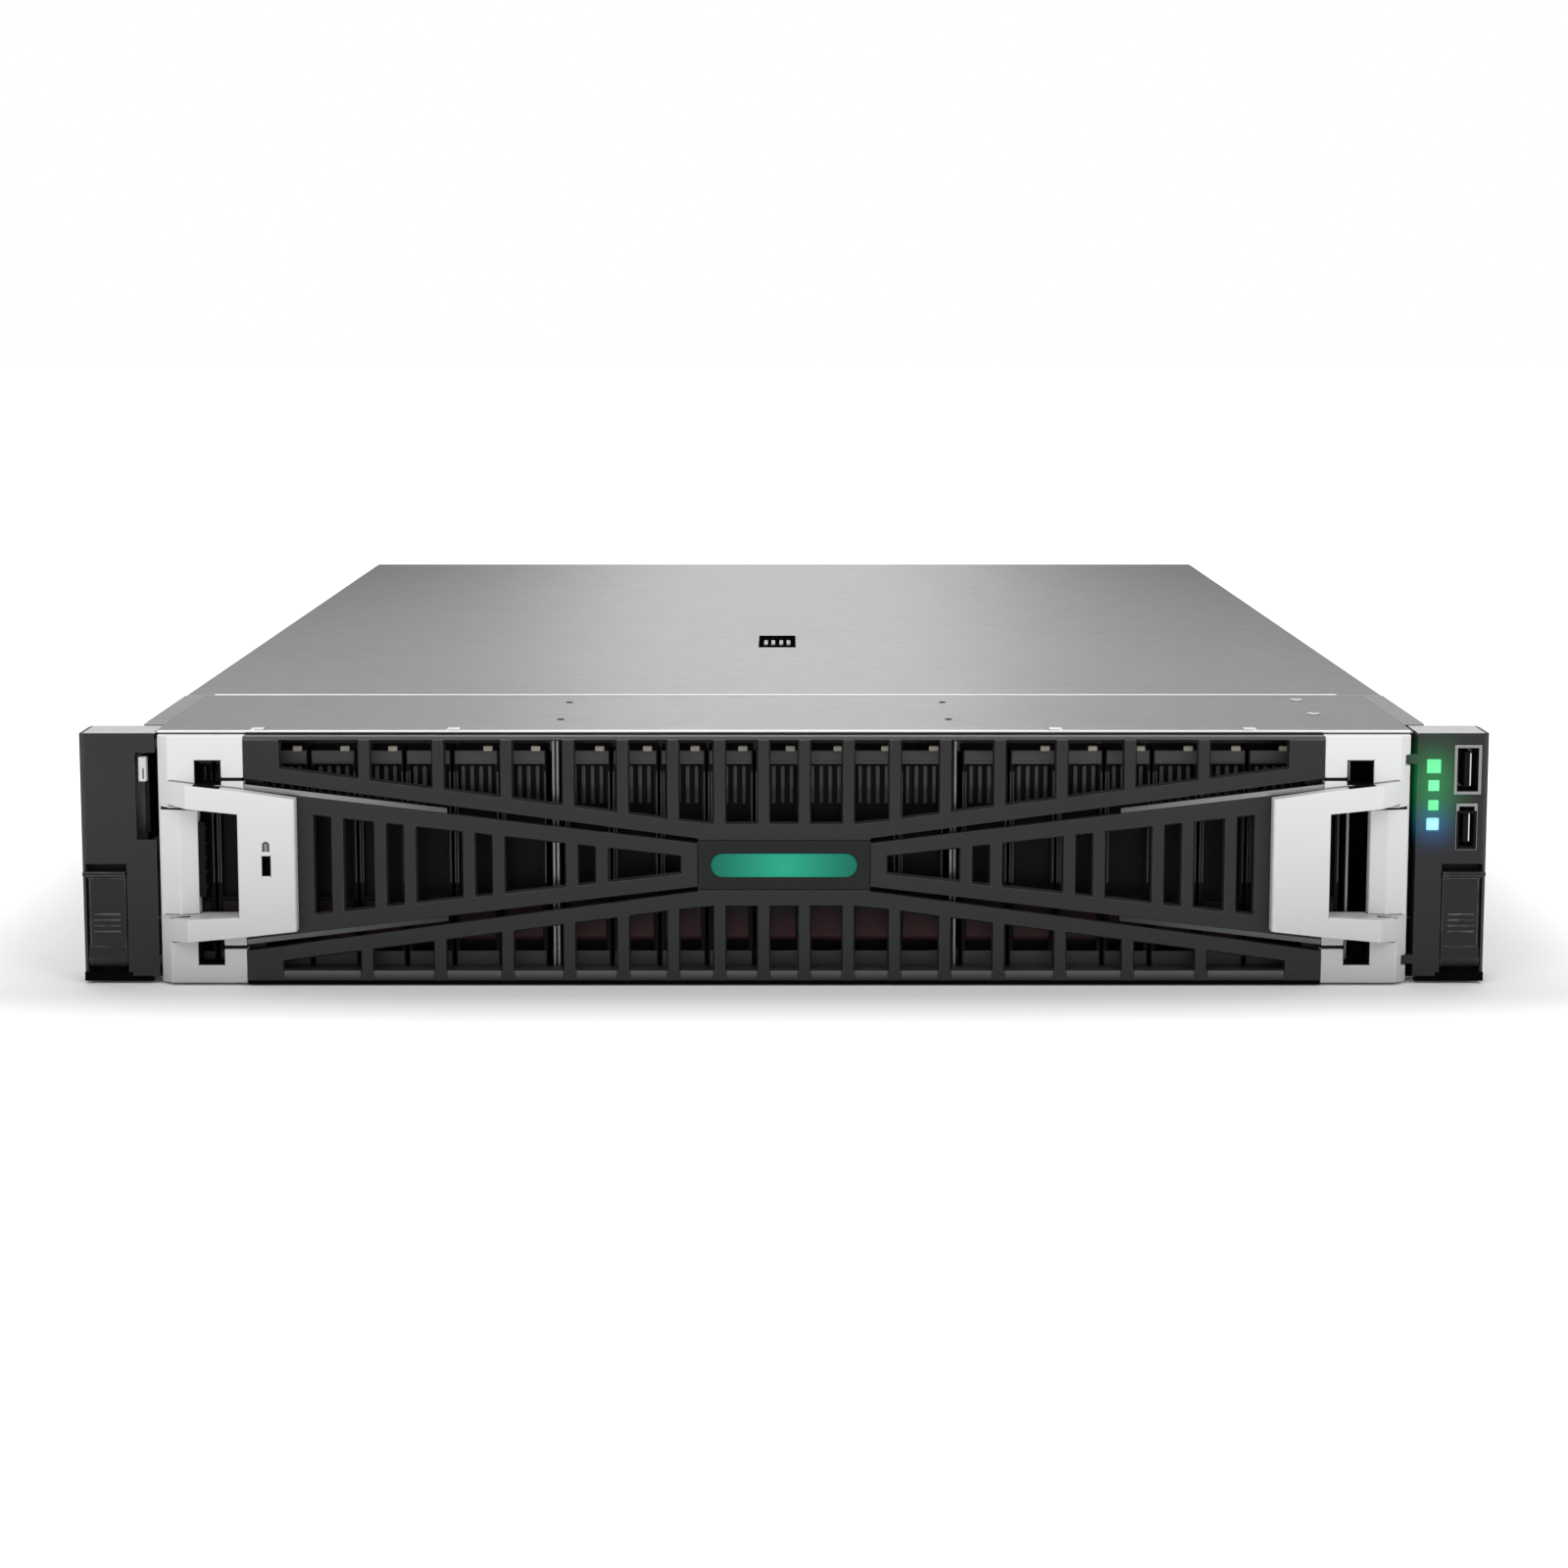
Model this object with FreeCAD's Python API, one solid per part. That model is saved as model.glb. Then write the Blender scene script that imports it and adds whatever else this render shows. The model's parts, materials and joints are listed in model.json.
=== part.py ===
"""A two-unit rack server with a lockable front bezel, modelled as its separate pieces.

While modelling, x runs to the right as seen from the front, y runs back from the front face of the rack
ears, and z runs up from the underside of the chassis. Saving a piece moves it to the part's own frame,
whose origin is at the middle of the underside.
"""
import FreeCAD
import Part
import math
import os

V = FreeCAD.Vector

# Overall sizes, in millimetres
RACK_WIDTH = 482.6
CHASSIS_WIDTH = 445.5
CHASSIS_TOP = 87.2
CHASSIS_DEPTH = 720.0
SHEET = 1.0
COVER_SHEET = 0.8
WALL = CHASSIS_WIDTH / 2
WALL_INSIDE = WALL - SHEET
COVER_UNDERSIDE = CHASSIS_TOP - COVER_SHEET
OVERCUT = 1.0
TOLERANCE = 0.01

# Tray, front cover and rail studs
TRAY_FRONT = 6.6
FRONT_COVER_FRONT = 2.0
FRONT_COVER_HALF_WIDTH = 215.2
LIP_GAP = 0.2
LIP_SETBACK = 1.0
LANCE_PLACES = [-179.5, -113.2, 92.4, 159.1]
LANCE_HALF_WIDTH = 2.0
LANCE_SPAN = (2.6, 11.0)
LANCE_RISE = (0.2, 0.5)
STUD_PLACES = [100.0, 360.0, 620.0]
STUD_Z = 43.0
STUD_NECK = 5.0
STUD_NECK_LENGTH = 2.4
STUD_HEAD_RADIUS = 4.4
STUD_HEAD_LENGTH = 1.2
STUD_HEAD_SIDES = 12

# Rack ears and their brackets
EAR_BOTTOM = 1.7
EAR_TOP = 86.7
EAR_DEPTH = 21.0
EAR_OUTSIDE = RACK_WIDTH / 2
LEFT_EAR_INSIDE = 215.3
RIGHT_EAR_INSIDE = 216.8
EAR_SKIN = 2.0
EAR_EDGE = 1.5
BRACKET_SHEET = 2.0
BRACKET_TOP_SHEET = 0.6
BRACKET_INSET = 0.3
EAR_BACK = EAR_DEPTH - BRACKET_SHEET
STRAP_OUTLINE = [(EAR_DEPTH, 6.0), (72.0, 16.0), (72.0, 72.0), (EAR_DEPTH, 82.0)]
STRAP_SHEET = 1.2
RACK_HOLE_X = 465.1 / 2
RACK_HOLE_RADIUS = 3.5
RACK_HOLE_RELIEF = 1.0
RACK_HOLE_Z = 21.4

# Quick-release levers, each in a pocket of its ear
LEVER_INSIDE = 226.4
LEVER_OUTSIDE = 239.6
LEVER_TOP = 38.7
LEVER_GAP = 0.4
LEVER_FRONT = 0.3
LEVER_BACK = 4.4
LEVER_NECK_FRONT = 0.8
LEVER_EDGE = 0.8
LEVER_SHOULDER_Z = 12.4
LEVER_PIN_Y = 3.2
LEVER_PIN_Z = 7.4
LEVER_PIN_RADIUS = 1.25
LEVER_KNUCKLE_RADIUS = 2.6
LIP_OUTSIDE = 241.0
LIP_PROUD = 0.9
LIP_HEIGHT = 1.5
LIP_SLOPE = 0.8
POCKET_INSIDE = LEVER_INSIDE - LEVER_GAP
POCKET_OUTSIDE = LEVER_OUTSIDE + LEVER_GAP
POCKET_TOP = 41.3
POCKET_BOTTOM = 3.6
POCKET_DEPTH = 7.5
POCKET_SKIN = 1.5

# Front controls in the right ear, as height and size of each square
CONTROL_X = 222.5
POWER_SQUARE = (75.2, 4.6)
LIGHT_SQUARES = [(68.6, 3.7), (61.8, 3.5)]
IDENTIFY_SQUARE = (55.2, 4.1)
LIGHT_PROUD = 0.2
PUSH_PROUD = 0.3
PUSH_EDGE = 0.3
PUSH_CLEARANCE = 0.15
PUSH_LENGTH = 9.0
PUSH_SHOULDER = 0.7
PUSH_SHOULDER_DEPTH = 1.6
CONTROL_BOARD_Y = 14.0
CONTROL_BOARD_LEVELS = (44.0, 84.0)
USB_X = 234.0
USB_SIZES = [(65.5, 82.7, 9.4), (46.3, 62.5, 7.4)]
USB_SKIN = 1.1
USB_PROUD = 0.3
USB_FLOOR = 2.0
USB_TONGUE_HALF = 0.9
USB_TONGUE_INSET = 2.6
USB_TONGUE_FRONT = 1.0

# Information tab in the left ear
TAB_X = -219.7
TAB_THICKNESS = 1.6
TAB_BOTTOM = 51.0
TAB_TOP = 78.5
TAB_FRONT = 9.0
TAB_BACK = 78.0
TAB_CLEARANCE = 0.2
TAB_GRIP_FRONT = 0.6
TAB_GRIP_LEVELS = (70.1, 78.3)
TAB_GRIP_EXTRA = 0.4
SLOT_OUTSIDE = -222.1
SLOT_LEVELS = (49.7, 79.9)
SLEEVE_SPAN = (23.0, 80.0)
SLEEVE_SKIN = 1.4
SLEEVE_INSIDE = TAB_X + 1.8

# Bezel: the grille lies in one plane and the handle plates stand in front of it
BEZEL_HALF_WIDTH = 214.3
BEZEL_BOTTOM = 0.6
BEZEL_TOP = 86.1
BEZEL_BACK = 5.0
BEZEL_END_BAR = 6.0
BEZEL_TOP_SLOPE = 1.2
GRILLE_FRONT = -4.0
GRILLE_BACK = -0.5
HANDLE_FRONT = -10.0
CAP_INSIDE = 184.5
CAP_SHOULDER = 210.3
CAP_SLOPE_BACK = -0.2
PATTERN_Z = 41.7
WINDOW_TAPER = 0.6

# Grille windows, widths from the centre outwards
ROW_WIDTHS = [9.25, 10.35, 11.2, 12.5, 13.8, 16.5, 18.5, 20.5, 26.2]
ROW_RIB = 4.7
ROW_TOP = 84.4
ROW_BOTTOM = 5.0
ARCH_OFFSET = 14.6
ARCH_FLAT = 26.7
ARCH_SLOPE = 0.1315
MIDDLE_WIDTHS = [24.3, 5.3, 20.1, 5.2, 15.2, 5.2, 9.7, 5.2]
MIDDLE_RIB = 4.95
MIDDLE_START = 35.6
MIDDLE_OFFSET = 2.8
MIDDLE_SLOPE = 0.1124
GROOVE_START = 29.6
GROOVE_OUTER_OFFSET = 9.24
GROOVE_OUTER_SLOPE = 0.1338
GROOVE_INNER_OFFSET = 7.5
GROOVE_INNER_SLOPE = 0.1188
GROOVE_FLOOR = 2.0
TRIM_START = 115.1
TRIM_WIDTH = 2.0
TRIM_SETBACK = 0.6
BADGE_WIDTH = 58.8
BADGE_HEIGHT = 17.0
BADGE_SEAT = 2.0
BADGE_PROUD = 0.6
BADGE_EDGE = 0.3
LENS_LENGTH = 50.0
LENS_HEIGHT = 8.0
LENS_SEAT = 0.8
LENS_PROUD = 1.2

# Bezel ends: finger gaps, handle plates, square holes and slits
GAP_INSIDE = 186.0
GAP_OUTSIDE = 201.0
GAP_TOP = 61.5
GAP_BOTTOM = 23.9
SCOOP_FLOOR = -0.4
SCOOP_CREST = (207.0, -2.4)
SCOOP_END = -0.6
HOLE_SPAN = (192.2, 201.2)
HOLE_LEVELS = [(6.8, 15.6), (69.2, 77.8)]
SLIT_END = 193.0
SLIT_LEVELS = [(12.5, 13.6), (70.7, 71.8)]
PLATE_INSIDE = 166.4
PLATE_EDGE = 0.8
ARM_SHOULDER = 203.5
PLATE_TOP = [(PLATE_INSIDE, 65.2), (CAP_INSIDE, 67.9), (ARM_SHOULDER, 70.0), (BEZEL_HALF_WIDTH, 71.3)]
PLATE_GAP_TOP = [(BEZEL_HALF_WIDTH, 63.0), (ARM_SHOULDER, 61.8), (GAP_INSIDE, 60.0)]
PLATE_GAP_BOTTOM = [(GAP_INSIDE, 24.5), (ARM_SHOULDER, 23.6), (BEZEL_HALF_WIDTH, 22.8)]
PLATE_BOTTOM = [(BEZEL_HALF_WIDTH, 14.5), (ARM_SHOULDER, 15.7), (CAP_INSIDE, 17.5), (PLATE_INSIDE, 19.5)]

# Bezel hinge at the right end, locating tabs, lock slot and latch at the left end
HINGE_X = 213.0
HINGE_Y = 2.0
HINGE_PIN_RADIUS = 1.2
HINGE_CLEARANCE = 0.05
HINGE_TAB_REACH = 2.0
HINGE_TAB_HEIGHT = 3.0
HINGE_LEVELS = [8.0, 77.6]
NOTCH_HEIGHT = 3.6
NOTCH_INSIDE = 210.0
NOTCH_FRONT = -0.4
NOTCH_WALL_END = 212.4
LOCATOR_LEVELS = [8.0, 83.0]
LOCATOR_INSIDE = 210.8
LOCATOR_SPAN = (0.8, 3.2)
LOCATOR_CLEARANCE = 0.4
LOCK_SLOT_X = (-177.9, -174.9)
LOCK_SLOT_LEVELS = (38.8, 45.7)
LOCK_SLOT_FLOOR = -4.5
PADDLE_GAP = 0.2
PADDLE_THICKNESS = 2.2
PADDLE_SPAN = (-0.2, 4.6)
PADDLE_LEVELS = (30.0, 56.0)
PADDLE_RIB_LEVELS = [33.0, 38.0, 43.0, 48.0, 53.0]
PADDLE_RIB_WIDTH = 1.2
PADDLE_RIB_HEIGHT = 0.6
TONGUE_END = 214.8
TONGUE_SPAN = (0.9, 3.1)
TONGUE_LEVELS = (40.0, 46.0)
TONGUE_CLEARANCE = 0.3

# Drives stand upright, eight to a cage
DRIVES_PER_CAGE = 8
DRIVE_PITCH = 16.4
DRIVE_WIDTH = 15.6
DRIVE_BOTTOM = 3.0
DRIVE_TOP = 80.0
DRIVE_FRONT = 7.5
CARRIER_BACK = 24.0
CAGE_WIDTH = 136.4
CAGE_CENTRES = [-147.0, -10.2, 126.6]
CAGE_FRONT = 6.0
CAGE_BACK = 166.0
DRIVE_STEP = 3.5
FACE_DEPTH = 3.0
FACE_RIM = 1.6
FACE_CAP = 5.4
FINGER_DEPTH = 8.0
BUTTON_BOTTOM = 13.4
BUTTON_TOP = 27.2
BUTTON_HALF_WIDTH = 6.2
BUTTON_DEPTH = 5.0
BUTTON_PROUD = 0.2
BUTTON_SLOPE = 1.2
RAIL_SPAN = (30.0, 150.0)
BACKPLANE_LEVELS = (4.0, 82.0)

# Fans in a row across the chassis
FAN_COUNT = 4
FAN_PITCH = 108.0
FAN_WIDTH = 82.0
FAN_HEIGHT = 80.0
FAN_FRONT = 214.0
FAN_BACK = 270.0
FAN_DUCT_RADIUS = 38.4
FAN_DUCT_SIDES = 24
FAN_HUB_RADIUS = 17.0
FAN_HUB_SIDES = 20
FAN_HUB_SPAN = (222.0, 254.0)
FAN_SHAFT_RADIUS = 1.5
FAN_BEARING_RADIUS = 1.7
FAN_SHAFT_SIDES = 12
FAN_BLADES = 5
FAN_BLADE_SPAN = (15.0, 36.4)
FAN_BLADE_CHORD = 28.0
FAN_BLADE_PITCH = 38.0
FAN_BLADE_THICKNESS = 1.6
FAN_BAR_SPAN = (264.0, FAN_BACK)
FAN_BAR_HEIGHT = 12.0
FAN_CAGE_HALF_WIDTH = 219.0
FAN_Z = SHEET + FAN_HEIGHT / 2

# Main board and what stands on it
BOARD_BOTTOM = 6.0
BOARD_TOP = 7.6
BOARD_THICKNESS = BOARD_TOP - BOARD_BOTTOM
BOARD_HALF_WIDTH = 207.0
BOARD_FRONT = 306.0
BOARD_STEP = 525.0
BOARD_BACK = 714.0
BOARD_LEFT_BACK = -62.0
STANDOFF_RADIUS = 3.2
STANDOFF_SIDES = 6
STANDOFF_FRONT_PLACES = [(x, y) for y in (315.0, 515.0) for x in (-198.0, 0.0, 198.0)]
STANDOFF_BACK_PLACES = [(-50.0, 705.0), (198.0, 705.0)]
PROCESSOR_PLACES = [-103.0, 103.0]
PROCESSOR_Y = 412.0
PROCESSOR_HALF_WIDTH = 38.0
PROCESSOR_HALF_LENGTH = 29.0
PROCESSOR_TOP = 13.6
HEATSINK_WIDTH = 80.0
HEATSINK_LENGTH = 112.0
HEATSINK_BASE_TOP = 18.6
HEATSINK_TOP = 76.0
HEATSINK_FINS = 14
HEATSINK_FIN = 1.2
MEMORY_PER_BANK = 6
MEMORY_PITCH = 8.8
MEMORY_START = 48.0
MEMORY_LENGTH = 133.0
MEMORY_THICKNESS = 2.6
MEMORY_TOP = 44.0
SOCKET_HALF_WIDTH = 3.1
SOCKET_OVERHANG = 4.0
SOCKET_TOP = 15.0
BAFFLE_HALF_WIDTH = 210.6
BAFFLE_FRONT = 338.0
BAFFLE_BACK = 515.0
BAFFLE_TOP = 79.6
BAFFLE_SKIN = 1.6
BAFFLE_WINDOW_HALF_WIDTH = 43.0
BAFFLE_WINDOW_HALF_LENGTH = 60.0

# Hood and its latch
HOOD_FRONT = 107.0
HOOD_HALF_WIDTH = 222.2
HOOD_SEAM = 1.0
HOOD_FLANGE_X = (220.3, 221.1)
HOOD_FLANGE_SPAN = (111.0, 700.0)
HOOD_FLANGE_BOTTOM = 79.0
LATCH_X = -2.9
LATCH_HALF_WIDTH = 7.8
LATCH_FRONT = 279.0
LATCH_BACK = 329.0
LATCH_SKIN = 0.9
LATCH_FLANGE = 3.0
LATCH_BOTTOM = 76.0
LATCH_PIN_Y = 285.5
LATCH_PIN_Z = 83.0
LATCH_PIN_RADIUS = 1.25
LATCH_KNUCKLE_RADIUS = 2.4
LATCH_SIDE_GAP = 0.4
LATCH_LEVER_BOTTOM = 84.4
LATCH_LEVER_TOP = 86.6
LATCH_LEVER_SPAN = (283.0, 326.5)
LATCH_TIP = [(326.5, 85.6), (321.0, 84.4)]
LATCH_HOLE_HALF_WIDTH = 3.2
LATCH_HOLE_SPAN = (312.0, 318.0)
GRIP_OFFSETS = [-4.8, -1.7, 1.7, 4.8]
GRIP_HALF_WIDTH = 0.8
GRIP_SPAN = (293.0, 309.0)

# Rear panel and the three riser columns, each as its middle and its number of slots
PANEL_FRONT = CHASSIS_DEPTH - SHEET
RISER_COLUMNS = [(147.0, 3), (4.0, 3), (-144.0, 2)]
FULL_COLUMN = 3
COVER_WIDTH = 118.0
COVER_HEIGHT = 18.6
COVER_PITCH = 19.7
COVER_TOP = 84.4
VENT_LENGTH = 42.0
VENT_HEIGHT = 5.0
VENT_RISE = (COVER_HEIGHT - VENT_HEIGHT) / 2
VENT_BRIDGE = 6.0
RISER_WINDOW_RIM = 1.5
RISER_FRONT = 570.0
RISER_BACK = 717.2
RISER_MARGIN = 2.0
RISER_TOP_GAP = 0.2
RISER_SLOT_HALF = 50.0
RISER_SLOT_RIM = 3.0
RISER_BOARD_X = -58.0
RISER_BOARD_SPAN = (580.0, 700.0)
RISER_BOARD_TOP = 82.0
PANEL_VENT_PLACES = [72.0 + 5.0 * i for i in range(7)] + [192.0 + 5.0 * i for i in range(5)]
PANEL_VENT_WIDTH = 2.2
PANEL_VENT_LEVELS = (8.0, 20.0)

# Rear ports, as left, right, lower and upper edges
VIDEO_PORT = (24.0, 56.0, 7.6, 20.6)
VIDEO_FRONT = 708.0
VIDEO_COLLAR = [(27.5, 17.8), (52.5, 17.8), (50.5, 10.0), (29.5, 10.0)]
VIDEO_COLLAR_REACH = 5.0
NETWORK_PORT = (0.0, 16.0, 7.6, 21.2)
NETWORK_FRONT = 700.0
NETWORK_CAVITY = (2.1, 13.9, 9.6, 19.4)
NETWORK_CAVITY_FRONT = 706.0
USB_PAIR_PORT = (-26.5, -11.5, 7.6, 23.4)
USB_PAIR_FRONT = 702.0
USB_PAIR_CAVITY_X = (-25.6, -12.4)
USB_PAIR_TONGUE_X = (-24.4, -13.6)
USB_PAIR_LEVELS = [9.0, 16.6]
USB_PAIR_HEIGHT = 5.4
USB_PAIR_TONGUE = (3.1, 5.0)
USB_PAIR_CAVITY_FRONT = 705.0
PORT_PROUD = 0.4

# Network card below the right riser
CARD_OPENING = (110.0, 184.0, 4.5, 22.5)
CARD_BOARD_X = (112.0, 182.0)
CARD_BOARD_FRONT = 610.0
CARD_BOARD_LEVELS = (10.0, 11.6)
CARD_EDGE_X = (125.0, 170.0)
CARD_EDGE_BACK = 618.0
CARD_FACE = (108.0, 186.0, 3.0, 24.0)
CARD_FACE_THICKNESS = 1.2
MODULE_CAGE_PLACES = [120.0, 140.0]
MODULE_CAGE_WIDTH = 15.0
MODULE_CAGE_LEVELS = (11.6, 21.6)
MODULE_CAGE_FRONT = 660.0
MODULE_CAGE_FLOOR = 4.0
MODULE_CAGE_SKIN = 0.6
MODULE_CAGE_PROUD = 1.0
CARD_KNOB = (174.0, 14.0)
CARD_KNOB_RADIUS = 3.6
CARD_KNOB_LENGTH = 7.0

# Power supplies in their bay
BAY_X = (-219.5, -68.5)
BAY_FRONT = 533.0
BAY_TOP = 43.4
BAY_OPENING_TOP = 41.5
PARTITION_PLACES = [-144.1, -68.9]
PARTITION_HALF = 0.4
SUPPLY_WIDTH = 73.5
SUPPLY_HEIGHT = 39.5
SUPPLY_FRONT = 535.0
SUPPLY_CENTRES = [-181.6, -106.6]
SUPPLY_VENT_X = (18.0, 33.5)
SUPPLY_VENT_LEVELS = [5.0 + 4.4 * i for i in range(8)]
SUPPLY_VENT_HEIGHT = 2.4
SUPPLY_VENT_DEPTH = 3.0
INLET_X = -18.0
INLET_Z = SHEET + SUPPLY_HEIGHT / 2
INLET_HALF = (14.0, 10.2)
INLET_RIM = 1.9
INLET_DEPTH = 16.0
INLET_FLOOR = 2.0
INLET_PROUD = 1.0
INLET_PINS = [(-7.0, -1.0), (7.0, -1.0), (0.0, 3.0)]
INLET_PIN_HALF = (1.0, 2.0)
INLET_PIN_SETBACK = 3.0
LOOP_X = 6.0
LOOP_HALF_WIDTH = 2.5
LOOP_REACH = 25.0
LOOP_LEVELS = (5.0, 36.5)
LOOP_CORNER = 5.0
LOOP_GAP_CORNER = 2.0
LOOP_BAR = 5.0
LOOP_FOOT = 1.6
RELEASE_X = 12.8
RELEASE_LEVELS = (12.0, 30.0)
RELEASE_SEAT_X = (-4.0, 2.0)
RELEASE_SEAT_LEVELS = (11.0, 31.0)
RELEASE_SEAT_DEPTH = 8.0
RELEASE_OUTLINE = [(-1.0, -8.0), (1.0, -8.0), (1.0, 11.0), (2.6, 15.0), (2.6, 17.0), (0.4, 17.0),
                   (-1.0, 12.0)]

# The handle plates in front and the supply loops behind set the overall length
FRAME_SHIFT = -(HANDLE_FRONT + CHASSIS_DEPTH + LOOP_REACH) / 2


def block(x0, x1, y0, y1, z0, z1):
    """A box between two corners."""
    return Part.makeBox(x1 - x0, y1 - y0, z1 - z0, V(x0, y0, z0))


def prism(points, direction):
    """A closed outline of straight edges, pushed along a direction."""
    return Part.Face(Part.makePolygon(points + [points[0]])).extrude(direction)


def front_prism(outline, y0, y1):
    """An (x, z) outline seen from the front, from depth y0 back to y1."""
    return prism([V(x, y0, z) for x, z in outline], V(0, y1 - y0, 0))


def plan_prism(outline, z0, z1):
    """An (x, y) outline seen from above, from height z0 up to z1."""
    return prism([V(x, y, z0) for x, y in outline], V(0, 0, z1 - z0))


def side_prism(outline, x0, x1):
    """A (y, z) outline seen from the side, from x0 to x1."""
    return prism([V(x0, y, z) for y, z in outline], V(x1 - x0, 0, 0))


def rod_x(radius, x0, x1, y, z):
    """A round bar along x."""
    return Part.makeCylinder(radius, x1 - x0, V(x0, y, z), V(1, 0, 0))


def rod_y(radius, y0, y1, x, z):
    """A round bar along y."""
    return Part.makeCylinder(radius, y1 - y0, V(x, y0, z), V(0, 1, 0))


def rod_z(radius, z0, z1, x, y):
    """A round bar along z."""
    return Part.makeCylinder(radius, z1 - z0, V(x, y, z0), V(0, 0, 1))


def polygon_bar(sides, radius, start, along):
    """A straight bar whose section is a regular polygon, for repeated pieces that are nearly round."""
    turn = FreeCAD.Rotation(V(0, 0, 1), along)
    corners = []
    for i in range(sides):
        angle = 2 * math.pi * (i + 0.5) / sides
        corners.append(start + turn.multVec(V(radius * math.cos(angle), radius * math.sin(angle), 0)))
    return prism(corners, along)


def fuse(pieces):
    """One solid from pieces that meet."""
    return pieces[0].multiFuse(pieces[1:]).removeSplitter()


def cut(body, tools):
    """The body less every tool."""
    return body.cut(tools).removeSplitter()


def bevel(shape, size, chosen):
    """Chamfer the edges whose middle point the test accepts."""
    return shape.makeChamfer(size, [edge for edge in shape.Edges if chosen(edge.CenterOfMass)])


def at(value, place):
    """Whether a coordinate lies on a place, within the rounding of the modeller."""
    return abs(value - place) < TOLERANCE


def mirrored(shape):
    """The same shape on the other side of the chassis's middle plane."""
    return shape.mirror(V(0, 0, 0), V(1, 0, 0))


def save(name, pieces):
    """Write one node, a single solid or a group of them, in the part's own frame."""
    shape = pieces[0] if len(pieces) == 1 else Part.makeCompound(pieces)
    shape = shape.copy()
    shape.translate(V(0, FRAME_SHIFT, 0))
    shape.exportStep(os.path.join("parts", name + ".step"))


# Bezel

def arch(x):
    """Half the height of the solid band between the two window rows, at a distance from the centre."""
    return ARCH_OFFSET + ARCH_SLOPE * max(0.0, abs(x) - ARCH_FLAT)


def groove_outer(x):
    """Distance of a groove's far edge from the pattern's middle line."""
    return GROOVE_OUTER_OFFSET + GROOVE_OUTER_SLOPE * (x - GROOVE_START)


def groove_inner(x):
    """Distance of a groove's near edge from the pattern's middle line."""
    return GROOVE_INNER_OFFSET + GROOVE_INNER_SLOPE * (x - GROOVE_START)


def middle_half_height(x):
    """Half the height of the middle windows, which grow towards the bezel's ends."""
    return MIDDLE_OFFSET + MIDDLE_SLOPE * (x - MIDDLE_START)


def spans(widths, start, rib):
    """Left and right edges of windows set out one after another, a rib apart."""
    edges = []
    left = start
    for width in widths:
        edges.append((left, left + width))
        left += width + rib
    return edges


def band(a, b, low, high):
    """A four-cornered outline from a to b whose lower and upper edges follow two functions of x."""
    return [(a, low(a)), (b, low(b)), (b, high(b)), (a, high(a))]


def grille_outlines():
    """Outlines of all the windows in the grille, seen from the front."""
    def upper(a, b):
        return band(a, b, lambda x: PATTERN_Z + arch(x), lambda x: ROW_TOP)

    def lower(a, b):
        return band(a, b, lambda x: ROW_BOTTOM, lambda x: PATTERN_Z - arch(x))

    def middle(a, b):
        return band(a, b, lambda x: PATTERN_Z - middle_half_height(x),
                    lambda x: PATTERN_Z + middle_half_height(x))

    half = ROW_WIDTHS[0] / 2
    one_side = []
    for a, b in spans(ROW_WIDTHS[1:], half + ROW_RIB, ROW_RIB):
        one_side += [upper(a, b), lower(a, b)]
    one_side += [middle(a, b) for a, b in spans(MIDDLE_WIDTHS, MIDDLE_START, MIDDLE_RIB)]
    other_side = [[(-x, z) for x, z in reversed(outline)] for outline in one_side]
    return [upper(-half, half), lower(-half, half)] + one_side + other_side


def tapered_window(outline):
    """A cutter for one window: straight through, and wider at the front face."""
    points = [V(x, GRILLE_FRONT, z) for x, z in outline]
    rim = Part.makePolygon(points + [points[0]])
    inner = rim.copy()
    inner.translate(V(0, 2 * WINDOW_TAPER, 0))
    mouth = Part.makeLoft([rim.makeOffset2D(WINDOW_TAPER, 2), inner], True, True)
    return mouth.fuse(front_prism(outline, GRILLE_FRONT + WINDOW_TAPER, BEZEL_BACK + OVERCUT))


def groove_slits():
    """The four slits between the middle panel and the rows of windows."""
    slits = []
    for side in (1, -1):
        outline = band(GROOVE_START, CAP_INSIDE, lambda x: PATTERN_Z + side * groove_inner(x),
                       lambda x: PATTERN_Z + side * groove_outer(x))
        slit = front_prism(outline, GRILLE_FRONT - OVERCUT, GROOVE_FLOOR)
        slits += [slit, mirrored(slit)]
    return slits


def badge_plate(y0, y1):
    """The badge's outline between two depths."""
    half, rise = BADGE_WIDTH / 2, BADGE_HEIGHT / 2
    return block(-half, half, y0, y1, PATTERN_Z - rise, PATTERN_Z + rise)


def bezel_grille():
    """The dark grille: a plate on a shallow frame, with three bands of windows and the grooves."""
    end = CAP_INSIDE
    plate = block(-end, end, GRILLE_FRONT, GRILLE_BACK, BEZEL_BOTTOM, BEZEL_TOP)
    top_bar = block(-end, end, GRILLE_BACK, BEZEL_BACK, ROW_TOP, BEZEL_TOP)
    bottom_bar = block(-end, end, GRILLE_BACK, BEZEL_BACK, BEZEL_BOTTOM, ROW_BOTTOM)
    end_bar = block(end - BEZEL_END_BAR, end, GRILLE_BACK, BEZEL_BACK, BEZEL_BOTTOM, BEZEL_TOP)
    body = fuse([plate, top_bar, bottom_bar, end_bar, mirrored(end_bar)])
    body = bevel(body, BEZEL_TOP_SLOPE, lambda c: at(c.y, GRILLE_FRONT) and at(c.z, BEZEL_TOP))
    windows = [tapered_window(outline) for outline in grille_outlines()]
    badge_seat = badge_plate(GRILLE_FRONT - OVERCUT, GRILLE_FRONT + BADGE_SEAT)
    return cut(body, windows + groove_slits() + [badge_seat])


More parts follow.
